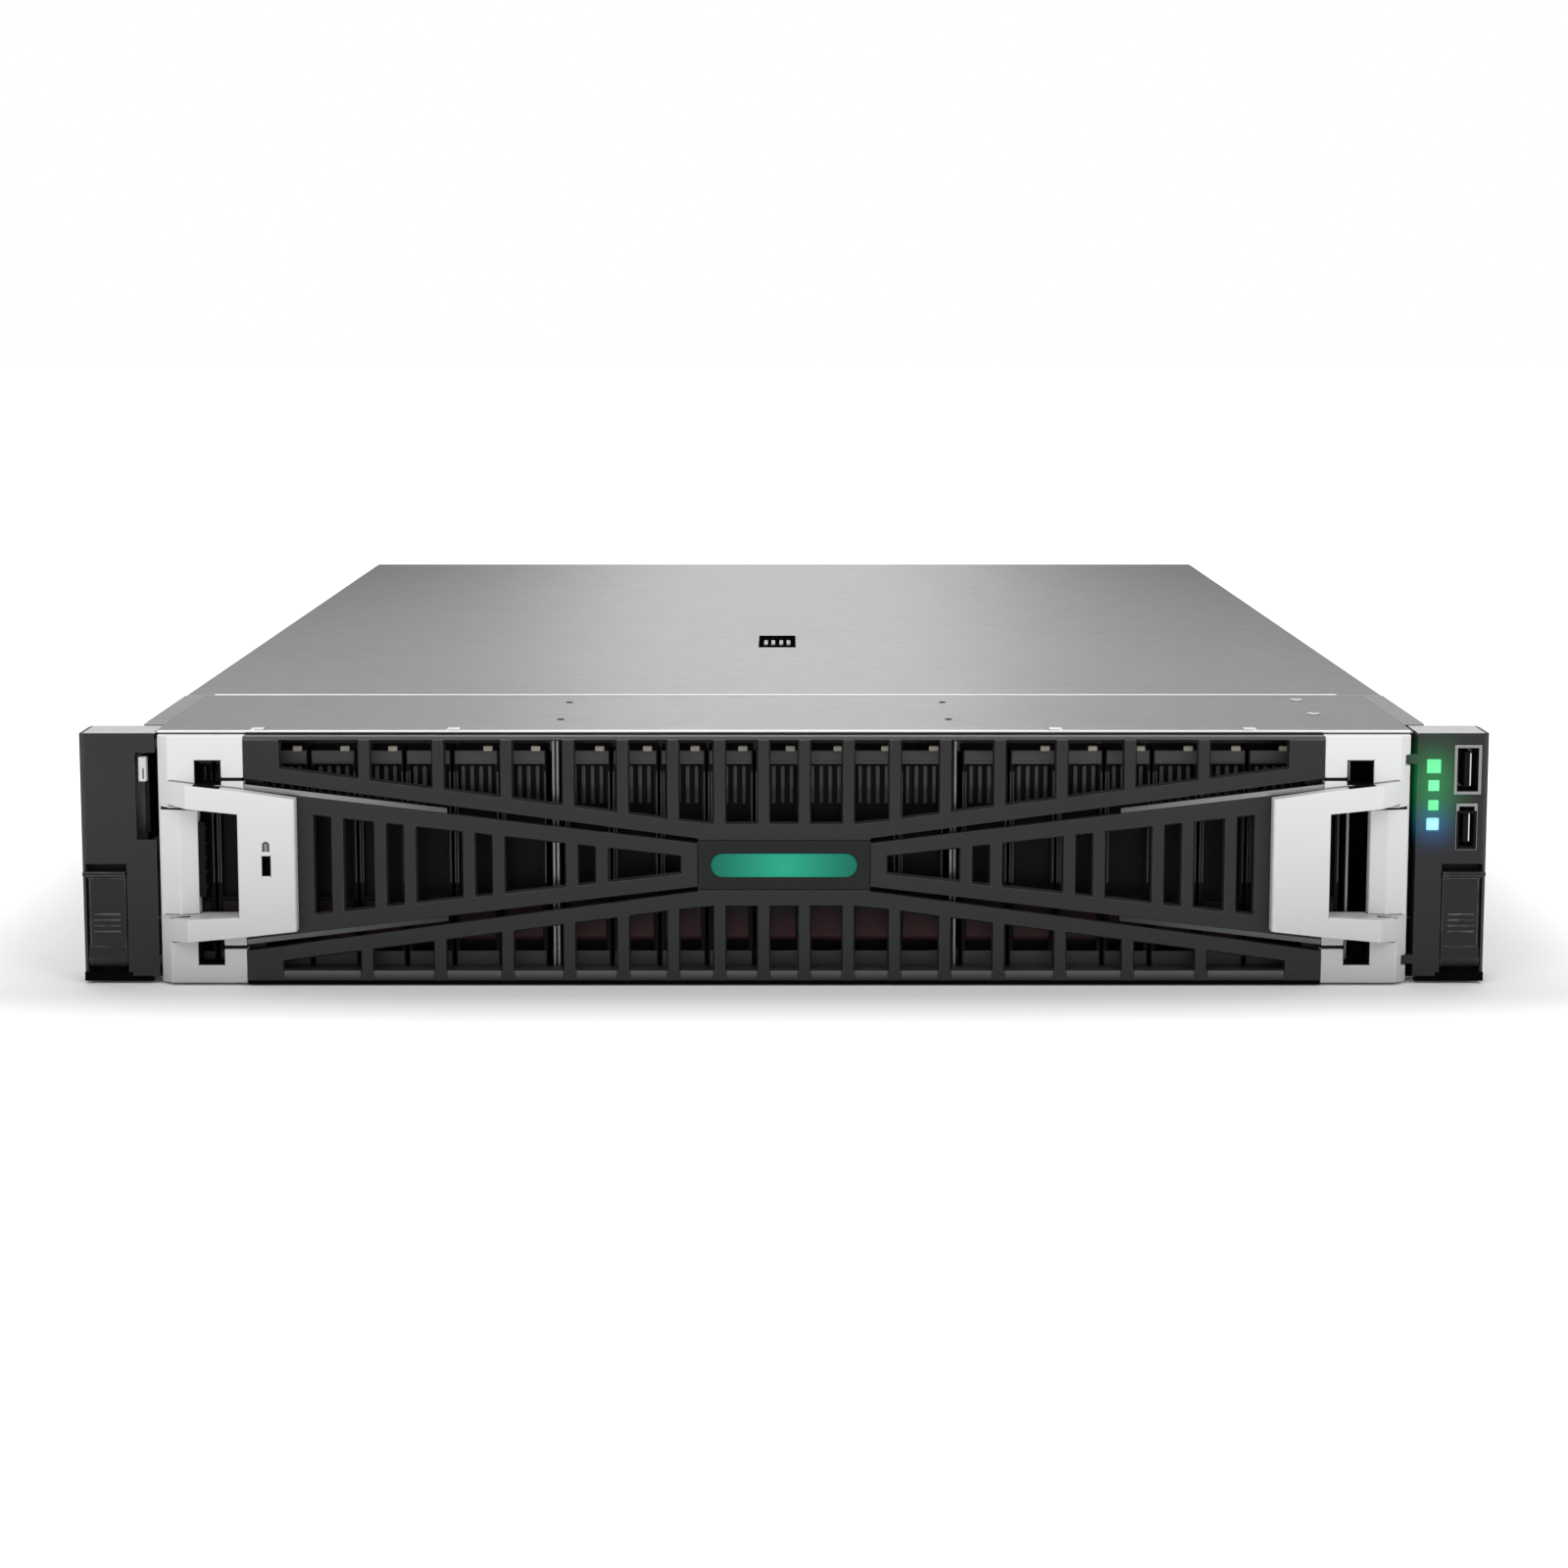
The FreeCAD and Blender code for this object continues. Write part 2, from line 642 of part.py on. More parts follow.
def stadium(length, height, y0, y1):
    """A bar with round ends, centred on the pattern, between two depths."""
    radius = height / 2
    reach = length / 2 - radius
    bar = block(-reach, reach, y0, y1, PATTERN_Z - radius, PATTERN_Z + radius)
    return fuse([bar] + [rod_y(radius, y0, y1, x, PATTERN_Z) for x in (-reach, reach)])


def badge():
    """The plain housing in the middle of the grille, and the lens of the light let into it."""
    front = GRILLE_FRONT - BADGE_PROUD
    floor = GRILLE_FRONT + LENS_SEAT
    housing = badge_plate(front, GRILLE_FRONT + BADGE_SEAT)
    housing = bevel(housing, BADGE_EDGE, lambda c: at(c.y, front))
    housing = cut(housing, [stadium(LENS_LENGTH, LENS_HEIGHT, front - OVERCUT, floor)])
    return housing, stadium(LENS_LENGTH, LENS_HEIGHT, GRILLE_FRONT - LENS_PROUD, floor)


def trim_strips():
    """Light strips along the outer stretch of each groove."""
    strips = []
    for side in (1, -1):
        outline = band(TRIM_START, CAP_INSIDE, lambda x: PATTERN_Z + side * groove_inner(x),
                       lambda x: PATTERN_Z + side * (groove_inner(x) + TRIM_WIDTH))
        strip = front_prism(outline, GRILLE_FRONT + TRIM_SETBACK, GRILLE_BACK)
        strips += [strip, mirrored(strip)]
    return strips


def handle_plate():
    """The plate with two arms in front of the right finger gap, open towards the ear."""
    outline = PLATE_TOP + PLATE_GAP_TOP + PLATE_GAP_BOTTOM + PLATE_BOTTOM
    seen = front_prism(outline, HANDLE_FRONT - OVERCUT, GRILLE_FRONT)
    section = [(PLATE_INSIDE, GRILLE_FRONT), (PLATE_INSIDE, HANDLE_FRONT + PLATE_EDGE),
               (PLATE_INSIDE + PLATE_EDGE, HANDLE_FRONT), (ARM_SHOULDER, HANDLE_FRONT),
               (CAP_SHOULDER, GRILLE_FRONT)]
    return seen.common(plan_prism(section, BEZEL_BOTTOM, BEZEL_TOP))


def bezel_cap():
    """What both end caps share, for the right end: sloped outer edge, finger gap, holes, slits and handle."""
    front, back = GRILLE_FRONT - OVERCUT, BEZEL_BACK + OVERCUT
    near, end = GAP_OUTSIDE - OVERCUT, BEZEL_HALF_WIDTH + OVERCUT
    section = [(CAP_INSIDE, GRILLE_FRONT), (CAP_SHOULDER, GRILLE_FRONT), (BEZEL_HALF_WIDTH, CAP_SLOPE_BACK),
               (BEZEL_HALF_WIDTH, BEZEL_BACK), (CAP_INSIDE, BEZEL_BACK)]
    scoop = [(near, front), (end, front), (end, SCOOP_END), SCOOP_CREST, (GAP_OUTSIDE, SCOOP_FLOOR),
             (near, SCOOP_FLOOR)]
    tools = [block(GAP_INSIDE, GAP_OUTSIDE, front, back, GAP_BOTTOM, GAP_TOP)]
    tools.append(plan_prism(scoop, GAP_BOTTOM, GAP_TOP))
    tools += [block(*HOLE_SPAN, front, back, *levels) for levels in HOLE_LEVELS]
    tools += [block(CAP_INSIDE - OVERCUT, SLIT_END, front, back, *levels) for levels in SLIT_LEVELS]
    return fuse([cut(plan_prism(section, BEZEL_BOTTOM, BEZEL_TOP), tools), handle_plate()])


def right_cap():
    """The hinged end of the bezel, with a notch round each hinge tab of the ear."""
    front, back, end = GRILLE_FRONT - OVERCUT, BEZEL_BACK + OVERCUT, BEZEL_HALF_WIDTH + OVERCUT
    notches = []
    for z in HINGE_LEVELS:
        low, high = z - NOTCH_HEIGHT / 2, z + NOTCH_HEIGHT / 2
        notches.append(block(NOTCH_INSIDE, end, NOTCH_FRONT, back, low, high))
        notches.append(block(NOTCH_WALL_END, end, front, back, low, high))
    return cut(bezel_cap(), notches)


def hinge_pins():
    """Upright pins across the notches of the right cap, on the axis that the bezel swings about."""
    reach = NOTCH_HEIGHT / 2
    return [rod_z(HINGE_PIN_RADIUS, z - reach, z + reach, HINGE_X, HINGE_Y) for z in HINGE_LEVELS]


def left_cap():
    """The latched end of the bezel, with the lock slot, the latch's passage and seats for the ear's tabs."""
    back, end = BEZEL_BACK + OVERCUT, -BEZEL_HALF_WIDTH - OVERCUT
    near, far = TONGUE_SPAN
    low, high = TONGUE_LEVELS
    room = TONGUE_CLEARANCE
    tools = [block(*LOCK_SLOT_X, HANDLE_FRONT - OVERCUT, LOCK_SLOT_FLOOR, *LOCK_SLOT_LEVELS)]
    tools.append(block(end, OVERCUT - GAP_OUTSIDE, near - room, far + room, low - room, high + room))
    for z in LOCATOR_LEVELS:
        tools.append(block(end, LOCATOR_CLEARANCE - LOCATOR_INSIDE, LOCATOR_SPAN[0] - LOCATOR_CLEARANCE, back,
                           z - NOTCH_HEIGHT / 2, z + NOTCH_HEIGHT / 2))
    return cut(mirrored(bezel_cap()), tools)


def bezel_latch():
    """The release latch in the left finger gap: a ribbed paddle with a tongue towards the ear."""
    wall = PADDLE_GAP - GAP_OUTSIDE
    face = wall + PADDLE_THICKNESS
    paddle = block(wall, face, *PADDLE_SPAN, *PADDLE_LEVELS)
    tongue = block(-TONGUE_END, wall, *TONGUE_SPAN, *TONGUE_LEVELS)
    ribs = [block(face, face + PADDLE_RIB_HEIGHT, *PADDLE_SPAN, z, z + PADDLE_RIB_WIDTH)
            for z in PADDLE_RIB_LEVELS]
    return fuse([paddle, tongue] + ribs)


def build_bezel():
    """All the pieces that swing with the bezel."""
    housing, lens = badge()
    save("bezel_grille", [bezel_grille()])
    save("bezel_left_cap", [left_cap()])
    save("bezel_right_cap", [right_cap()])
    save("bezel_trim_strips", trim_strips())
    save("bezel_badge", [housing])
    save("bezel_badge_lens", [lens])
    save("bezel_hinge_pins", hinge_pins())
    save("bezel_latch", [bezel_latch()])


# Rack ears

def ear_cover(inside):
    """A right-hand ear cover: a hollow moulding open at the back, with the lever's pocket in its front."""
    shell = block(inside, EAR_OUTSIDE, 0, EAR_BACK, EAR_BOTTOM, EAR_TOP)
    shell = bevel(shell, EAR_EDGE, lambda c: at(c.x, EAR_OUTSIDE) and at(c.y, 0))
    pocket = block(POCKET_INSIDE, POCKET_OUTSIDE, -OVERCUT, POCKET_DEPTH, POCKET_BOTTOM, POCKET_TOP)
    pocket_walls = block(POCKET_INSIDE - POCKET_SKIN, EAR_OUTSIDE, 0, POCKET_DEPTH + POCKET_SKIN,
                         EAR_BOTTOM, POCKET_TOP + POCKET_SKIN)
    hollow = block(inside + EAR_SKIN, EAR_OUTSIDE - EAR_SKIN, EAR_SKIN, EAR_BACK + OVERCUT,
                   EAR_BOTTOM + EAR_SKIN, EAR_TOP + OVERCUT)
    bracket_seat = block(inside - OVERCUT, EAR_OUTSIDE - EAR_EDGE, BRACKET_TOP_SHEET, EAR_BACK + OVERCUT,
                         EAR_TOP - BRACKET_TOP_SHEET, EAR_TOP + OVERCUT)
    screw_way = rod_y(RACK_HOLE_RADIUS + RACK_HOLE_RELIEF, POCKET_DEPTH - OVERCUT, EAR_DEPTH,
                      RACK_HOLE_X, RACK_HOLE_Z)
    return cut(shell, [hollow.cut(pocket_walls), pocket, bracket_seat, screw_way])


def lever_bar(radius, x0, x1):
    """A round bar on the axis of the right lever."""
    return rod_x(radius, x0, x1, LEVER_PIN_Y, LEVER_PIN_Z)


def rack_lever():
    """The right quick-release lever: a plate with a finger lip, on a knuckle round its pin."""
    lip_bottom = LEVER_TOP - LIP_HEIGHT
    section = [(LEVER_BACK, LEVER_SHOULDER_Z), (LEVER_BACK, LEVER_TOP), (-LIP_PROUD, LEVER_TOP),
               (-LIP_PROUD, lip_bottom), (LEVER_FRONT, lip_bottom - LIP_SLOPE),
               (LEVER_FRONT, LEVER_SHOULDER_Z)]
    plate = side_prism(section, LEVER_INSIDE, LEVER_OUTSIDE)
    plate = bevel(plate, LEVER_EDGE, lambda c: at(c.x, LEVER_OUTSIDE) and at(c.y, LEVER_FRONT))
    lip = block(LEVER_OUTSIDE, LIP_OUTSIDE, -LIP_PROUD, 0, lip_bottom, LEVER_TOP)
    neck = block(LEVER_INSIDE, LEVER_OUTSIDE, LEVER_NECK_FRONT, LEVER_BACK, LEVER_PIN_Z, LEVER_SHOULDER_Z)
    knuckle = lever_bar(LEVER_KNUCKLE_RADIUS, LEVER_INSIDE, LEVER_OUTSIDE)
    bore = lever_bar(LEVER_PIN_RADIUS + HINGE_CLEARANCE, POCKET_INSIDE, POCKET_OUTSIDE)
    return cut(fuse([plate, lip, neck, knuckle]), [bore])


def ear_bracket(inside):
    """A right-hand steel bracket: rack flange with its screw hole, top plate and a strap on the wall."""
    flange = block(WALL_INSIDE, EAR_OUTSIDE - BRACKET_INSET, EAR_BACK, EAR_DEPTH, EAR_BOTTOM, EAR_TOP)
    top = block(inside, EAR_OUTSIDE - EAR_EDGE, BRACKET_TOP_SHEET, EAR_DEPTH,
                EAR_TOP - BRACKET_TOP_SHEET, EAR_TOP)
    strap = side_prism(STRAP_OUTLINE, WALL, WALL + STRAP_SHEET)
    hole = rod_y(RACK_HOLE_RADIUS, 0, EAR_DEPTH + OVERCUT, RACK_HOLE_X, RACK_HOLE_Z)
    return cut(fuse([flange, top, strap]), [hole])


def square(level, size, y0, y1):
    """A square bar along y at the row of front controls."""
    half = size / 2
    return block(CONTROL_X - half, CONTROL_X + half, y0, y1, level - half, level + half)


def push_button(level, size):
    """A square button whose shoulder sits behind the ear's front wall."""
    cap = bevel(square(level, size, -PUSH_PROUD, PUSH_LENGTH), PUSH_EDGE, lambda c: at(c.y, -PUSH_PROUD))
    shoulder = square(level, size + 2 * PUSH_SHOULDER, EAR_SKIN, EAR_SKIN + PUSH_SHOULDER_DEPTH)
    return fuse([cap, shoulder])


def usb_box(bottom, top, width, inset, y0, y1):
    """The outline of one USB socket, drawn in by an inset, between two depths."""
    half = width / 2 - inset
    return block(USB_X - half, USB_X + half, y0, y1, bottom + inset, top - inset)


def usb_socket(bottom, top, width):
    """One upright USB socket: a metal shell with its contact tongue."""
    floor = CONTROL_BOARD_Y - USB_FLOOR
    shell = usb_box(bottom, top, width, 0, -USB_PROUD, CONTROL_BOARD_Y)
    shell = shell.cut(usb_box(bottom, top, width, USB_SKIN, -OVERCUT, floor))
    tongue = block(USB_X - USB_TONGUE_HALF, USB_X + USB_TONGUE_HALF, USB_TONGUE_FRONT, floor,
                   bottom + USB_TONGUE_INSET, top - USB_TONGUE_INSET)
    return fuse([shell, tongue])


def hinge_tab(z):
    """One tab of the right ear, bored for the bezel's hinge pin."""
    low, high = z - HINGE_TAB_HEIGHT / 2, z + HINGE_TAB_HEIGHT / 2
    reach = HINGE_TAB_REACH
    tab = block(HINGE_X - reach, RIGHT_EAR_INSIDE, HINGE_Y - reach, HINGE_Y + reach, low, high)
    return tab.cut(rod_z(HINGE_PIN_RADIUS + HINGE_CLEARANCE, low - OVERCUT, high + OVERCUT, HINGE_X, HINGE_Y))


def right_ear_cover():
    """The right cover, with openings for the controls and sockets and the two hinge tabs of the bezel."""
    front, back = -OVERCUT, EAR_SKIN + OVERCUT
    openings = [square(level, size + 2 * PUSH_CLEARANCE, front, back)
                for level, size in (POWER_SQUARE, IDENTIFY_SQUARE)]
    openings += [square(level, size, front, back) for level, size in LIGHT_SQUARES]
    openings += [usb_box(*sizes, 0, front, back) for sizes in USB_SIZES]
    return fuse([cut(ear_cover(RIGHT_EAR_INSIDE), openings)] + [hinge_tab(z) for z in HINGE_LEVELS])


def left_ear_cover():
    """The left cover, with the tall slot of the information tab and the bezel's two locating tabs."""
    reach = HINGE_TAB_HEIGHT / 2
    slot = block(SLOT_OUTSIDE, OVERCUT - LEFT_EAR_INSIDE, -OVERCUT, EAR_DEPTH, *SLOT_LEVELS)
    tabs = [block(-LEFT_EAR_INSIDE, -LOCATOR_INSIDE, *LOCATOR_SPAN, z - reach, z + reach)
            for z in LOCATOR_LEVELS]
    return fuse([cut(mirrored(ear_cover(LEFT_EAR_INSIDE)), [slot])] + tabs)


def tab_bar(extra, y0, y1, low, high):
    """A bar along the information tab, thicker than the card by the extra on both sides."""
    half = TAB_THICKNESS / 2 + extra
    return block(TAB_X - half, TAB_X + half, y0, y1, low, high)


def info_tab():
    """The blank pull-out card with its grip, and the sleeve on the chassis wall that guides it."""
    card = tab_bar(0, TAB_FRONT, TAB_BACK, TAB_BOTTOM, TAB_TOP)
    grip = tab_bar(TAB_GRIP_EXTRA, TAB_GRIP_FRONT, TAB_FRONT, *TAB_GRIP_LEVELS)
    room = TAB_CLEARANCE
    channel = tab_bar(room, EAR_DEPTH, CAGE_BACK, TAB_BOTTOM - room, TAB_TOP + room)
    sleeve = block(-WALL_INSIDE, SLEEVE_INSIDE, *SLEEVE_SPAN, TAB_BOTTOM - SLEEVE_SKIN, TAB_TOP + SLEEVE_SKIN)
    return fuse([card, grip]), sleeve.cut(channel)


def build_ears():
    """Covers, brackets, levers and front controls at both ends."""
    card, sleeve = info_tab()
    lever_pin = lever_bar(LEVER_PIN_RADIUS, POCKET_INSIDE, POCKET_OUTSIDE)
    save("left_ear_cover", [left_ear_cover()])
    save("right_ear_cover", [right_ear_cover()])
    save("left_ear_bracket", [mirrored(ear_bracket(LEFT_EAR_INSIDE))])
    save("right_ear_bracket", [ear_bracket(RIGHT_EAR_INSIDE)])
    save("left_rack_lever", [mirrored(rack_lever())])
    save("right_rack_lever", [rack_lever()])
    save("rack_lever_pins", [lever_pin, mirrored(lever_pin)])
    save("info_tab", [card])
    save("info_tab_sleeve", [sleeve])
    save("power_button", [push_button(*POWER_SQUARE)])
    save("identify_button", [push_button(*IDENTIFY_SQUARE)])
    save("status_lights", [square(*sizes, -LIGHT_PROUD, CONTROL_BOARD_Y) for sizes in LIGHT_SQUARES])
    save("usb_sockets", [usb_socket(*sizes) for sizes in USB_SIZES])


# Drives

def drive_positions():
    """The middle of each drive, cage by cage."""
    offset = (DRIVES_PER_CAGE - 1) / 2
    return [centre + (i - offset) * DRIVE_PITCH for centre in CAGE_CENTRES for i in range(DRIVES_PER_CAGE)]


def drive(x):
    """One drive in its carrier: sunk face, seat of the button, finger gap under it, and the drive behind."""
    half, front = DRIVE_WIDTH / 2, DRIVE_FRONT - OVERCUT
    left, right = x - BUTTON_HALF_WIDTH, x + BUTTON_HALF_WIDTH
    carrier = block(x - half, x + half, DRIVE_FRONT, CARRIER_BACK, DRIVE_BOTTOM, DRIVE_TOP)
    body = block(x - half, x + half, CARRIER_BACK, CAGE_BACK,
                 DRIVE_BOTTOM + DRIVE_STEP, DRIVE_TOP - DRIVE_STEP)
    tools = [
        block(left, right, front, DRIVE_FRONT + FACE_DEPTH, BUTTON_TOP + FACE_RIM, DRIVE_TOP - FACE_CAP),
        block(left, right, front, DRIVE_FRONT + BUTTON_DEPTH, BUTTON_BOTTOM, BUTTON_TOP),
        block(left, right, front, DRIVE_FRONT + FINGER_DEPTH, DRIVE_BOTTOM + FACE_CAP, BUTTON_BOTTOM),
    ]
    return fuse([cut(carrier, tools), body])


def drive_button(x):
    """The release button of one carrier, with a sloped finger edge."""
    front, back = DRIVE_FRONT - BUTTON_PROUD, DRIVE_FRONT + BUTTON_DEPTH
    section = [(front, BUTTON_BOTTOM + BUTTON_SLOPE), (front, BUTTON_TOP), (back, BUTTON_TOP),
               (back, BUTTON_BOTTOM), (front + BUTTON_SLOPE, BUTTON_BOTTOM)]
    return side_prism(section, x - BUTTON_HALF_WIDTH, x + BUTTON_HALF_WIDTH)


def drive_cage(centre):
    """One sheet-metal cage, open at the front and back, with guide rails under and over its drives."""
    half, inside = CAGE_WIDTH / 2, CAGE_WIDTH / 2 - SHEET
    left, right = centre - inside, centre + inside
    floor, ceiling = 2 * SHEET, COVER_UNDERSIDE - SHEET
    outer = block(centre - half, centre + half, CAGE_FRONT, CAGE_BACK, SHEET, COVER_UNDERSIDE)
    inner = block(left, right, CAGE_FRONT - OVERCUT, CAGE_BACK + OVERCUT, floor, ceiling)
    low = block(left, right, *RAIL_SPAN, floor, DRIVE_BOTTOM + DRIVE_STEP)
    high = block(left, right, *RAIL_SPAN, DRIVE_TOP - DRIVE_STEP, ceiling)
    return fuse([outer.cut(inner), low, high])


def backplane(centre):
    """The circuit board that the drives of one cage plug into."""
    half = CAGE_WIDTH / 2
    return block(centre - half, centre + half, CAGE_BACK, CAGE_BACK + BOARD_THICKNESS, *BACKPLANE_LEVELS)


def build_drives():
    """Cages, drives and their buttons."""
    save("drive_cages", [drive_cage(centre) for centre in CAGE_CENTRES])
    save("drives", [drive(x) for x in drive_positions()])
    save("drive_release_buttons", [drive_button(x) for x in drive_positions()])


# Chassis

def chassis_tray():
    """Floor and side walls of bent sheet, with lips beside the front cover and the board's standoffs."""
    floor = block(-WALL, WALL, TRAY_FRONT, CHASSIS_DEPTH, 0, SHEET)
    wall = block(WALL_INSIDE, WALL, EAR_DEPTH, CHASSIS_DEPTH, 0, COVER_UNDERSIDE)
    lip = block(FRONT_COVER_HALF_WIDTH + LIP_GAP, WALL, EAR_DEPTH + LIP_SETBACK, HOOD_FRONT - HOOD_SEAM,
                COVER_UNDERSIDE, CHASSIS_TOP)
    rise = V(0, 0, BOARD_BOTTOM - SHEET)
    places = STANDOFF_FRONT_PLACES + STANDOFF_BACK_PLACES
    standoffs = [polygon_bar(STANDOFF_SIDES, STANDOFF_RADIUS, V(x, y, SHEET), rise) for x, y in places]
    return fuse([floor, wall, lip, mirrored(wall), mirrored(lip)] + standoffs)


def front_top_cover():
    """The fixed cover over the drives, with four small lanced tabs along its front edge."""
    half = FRONT_COVER_HALF_WIDTH
    sheet = block(-half, half, FRONT_COVER_FRONT, HOOD_FRONT - HOOD_SEAM, COVER_UNDERSIDE, CHASSIS_TOP)
    start, end = LANCE_SPAN
    low, high = LANCE_RISE
    wedge = [(start, CHASSIS_TOP), (start, CHASSIS_TOP + low), (end, CHASSIS_TOP + high), (end, CHASSIS_TOP)]
    lances = [side_prism(wedge, x - LANCE_HALF_WIDTH, x + LANCE_HALF_WIDTH) for x in LANCE_PLACES]
    return fuse([sheet] + lances)


def rail_stud(y):
    """A headed stud with a square neck on the right wall, which hooks into the slide rail."""
    half, neck_end = STUD_NECK / 2, WALL + STUD_NECK_LENGTH
    neck = block(WALL, neck_end, y - half, y + half, STUD_Z - half, STUD_Z + half)
    head = polygon_bar(STUD_HEAD_SIDES, STUD_HEAD_RADIUS, V(neck_end, y, STUD_Z), V(STUD_HEAD_LENGTH, 0, 0))
    return fuse([neck, head])


def rear_panel():
    """The rear wall with its riser windows, port cut-outs, supply bay and rows of vent slots."""
    front, back = PANEL_FRONT - OVERCUT, CHASSIS_DEPTH + OVERCUT
    panel = block(-WALL_INSIDE, WALL_INSIDE, PANEL_FRONT, CHASSIS_DEPTH, SHEET, COVER_UNDERSIDE)
    half = COVER_WIDTH / 2 - RISER_WINDOW_RIM
    tools = [block(*BAY_X, front, back, 0, BAY_OPENING_TOP)]
    for centre, count in RISER_COLUMNS:
        tools.append(block(centre - half, centre + half, front, back,
                           riser_low(count) + RISER_WINDOW_RIM, COVER_TOP - RISER_WINDOW_RIM))
    for x0, x1, z0, z1 in (CARD_OPENING, VIDEO_PORT, NETWORK_PORT, USB_PAIR_PORT):
        tools.append(block(x0, x1, front, back, z0, z1))
    tools += [block(x, x + PANEL_VENT_WIDTH, front, back, *PANEL_VENT_LEVELS) for x in PANEL_VENT_PLACES]
    return cut(panel, tools)


def build_chassis():
    """Tray, fixed covers and rail studs."""
    studs = [rail_stud(y) for y in STUD_PLACES]
    save("chassis_tray", [chassis_tray()])
    save("rear_panel", [rear_panel()])
    save("front_top_cover", [front_top_cover()])
    save("rail_studs", studs + [mirrored(stud) for stud in studs])


# Hood

def latch_box(inset, z0, z1):
    """The latch opening's outline, drawn in by an inset, between two heights."""
    half = LATCH_HALF_WIDTH - inset
    return block(LATCH_X - half, LATCH_X + half, LATCH_FRONT + inset, LATCH_BACK - inset, z0, z1)


def latch_bar(radius, reach):
    """A round bar on the axis of the hood's lever."""
    return rod_x(radius, LATCH_X - reach, LATCH_X + reach, LATCH_PIN_Y, LATCH_PIN_Z)


def hood():
    """The removable hood: a sheet with side flanges that drop inside the walls, and the latch's opening."""
    sheet = block(-HOOD_HALF_WIDTH, HOOD_HALF_WIDTH, HOOD_FRONT, CHASSIS_DEPTH, COVER_UNDERSIDE, CHASSIS_TOP)
    flange = block(*HOOD_FLANGE_X, *HOOD_FLANGE_SPAN, HOOD_FLANGE_BOTTOM, COVER_UNDERSIDE)
    opening = latch_box(0, COVER_UNDERSIDE - OVERCUT, CHASSIS_TOP + OVERCUT)
    return cut(fuse([sheet, flange, mirrored(flange)]), [opening])


def hood_latch_housing():
    """The black tub sunk into the hood, with a flange under the sheet."""
    tub = latch_box(0, LATCH_BOTTOM, CHASSIS_TOP)
    flange = latch_box(-LATCH_FLANGE, COVER_UNDERSIDE - LATCH_SKIN, COVER_UNDERSIDE)
    return cut(fuse([tub, flange]), [latch_box(LATCH_SKIN, LATCH_BOTTOM + LATCH_SKIN, CHASSIS_TOP + OVERCUT)])


def hood_lever():
    """The latch lever, flush with the hood at rest, on a knuckle round its pin."""
    half = LATCH_HALF_WIDTH - LATCH_SKIN - LATCH_SIDE_GAP
    start, end = LATCH_LEVER_SPAN
    section = [(start, LATCH_LEVER_BOTTOM), (start, LATCH_LEVER_TOP), (end, LATCH_LEVER_TOP)] + LATCH_TIP
    plate = side_prism(section, LATCH_X - half, LATCH_X + half)
    finger_hole = block(LATCH_X - LATCH_HOLE_HALF_WIDTH, LATCH_X + LATCH_HOLE_HALF_WIDTH, *LATCH_HOLE_SPAN,
                        LATCH_LEVER_BOTTOM - OVERCUT, LATCH_LEVER_TOP + OVERCUT)
    bore = latch_bar(LATCH_PIN_RADIUS + HINGE_CLEARANCE, LATCH_HALF_WIDTH)
    return cut(fuse([plate, latch_bar(LATCH_KNUCKLE_RADIUS, half)]), [bore, finger_hole])


def hood_lever_grip(x):
    """One light grip rib on the lever, at a distance from the lever's middle."""
    middle = LATCH_X + x
    return block(middle - GRIP_HALF_WIDTH, middle + GRIP_HALF_WIDTH, *GRIP_SPAN, LATCH_LEVER_TOP, CHASSIS_TOP)


def build_hood():
    """Hood, latch housing, lever and pin."""
    save("hood", [hood()])
    save("hood_latch_housing", [hood_latch_housing()])
    save("hood_lever", [hood_lever()])
    save("hood_lever_grips", [hood_lever_grip(x) for x in GRIP_OFFSETS])
    save("hood_lever_pin", [latch_bar(LATCH_PIN_RADIUS, LATCH_HALF_WIDTH - LATCH_SKIN)])


# Fans

def fan_positions():
    """The axis of each fan, from the left."""
    offset = (FAN_COUNT - 1) / 2
    return [(i - offset) * FAN_PITCH for i in range(FAN_COUNT)]


def fan_bar(sides, radius, x, y0, y1):
    """A many-sided bar on the axis of a fan."""
    return polygon_bar(sides, radius, V(x, y0, FAN_Z), V(0, y1 - y0, 0))


def fan_frame(x):
    """One fan's square frame with its round duct, and the bar behind the blades that holds the bearing."""
    half, rise = FAN_WIDTH / 2, FAN_BAR_HEIGHT / 2
    y0, y1 = FAN_BAR_SPAN
    body = block(x - half, x + half, FAN_FRONT, FAN_BACK, SHEET, SHEET + FAN_HEIGHT)
    body = body.cut(fan_bar(FAN_DUCT_SIDES, FAN_DUCT_RADIUS, x, FAN_FRONT, FAN_BACK))
    bar = block(x - half, x + half, y0, y1, FAN_Z - rise, FAN_Z + rise)
    bearing = fan_bar(FAN_SHAFT_SIDES, FAN_BEARING_RADIUS, x, y0 - OVERCUT, y1 + OVERCUT)
    return cut(fuse([body, bar]), [bearing])


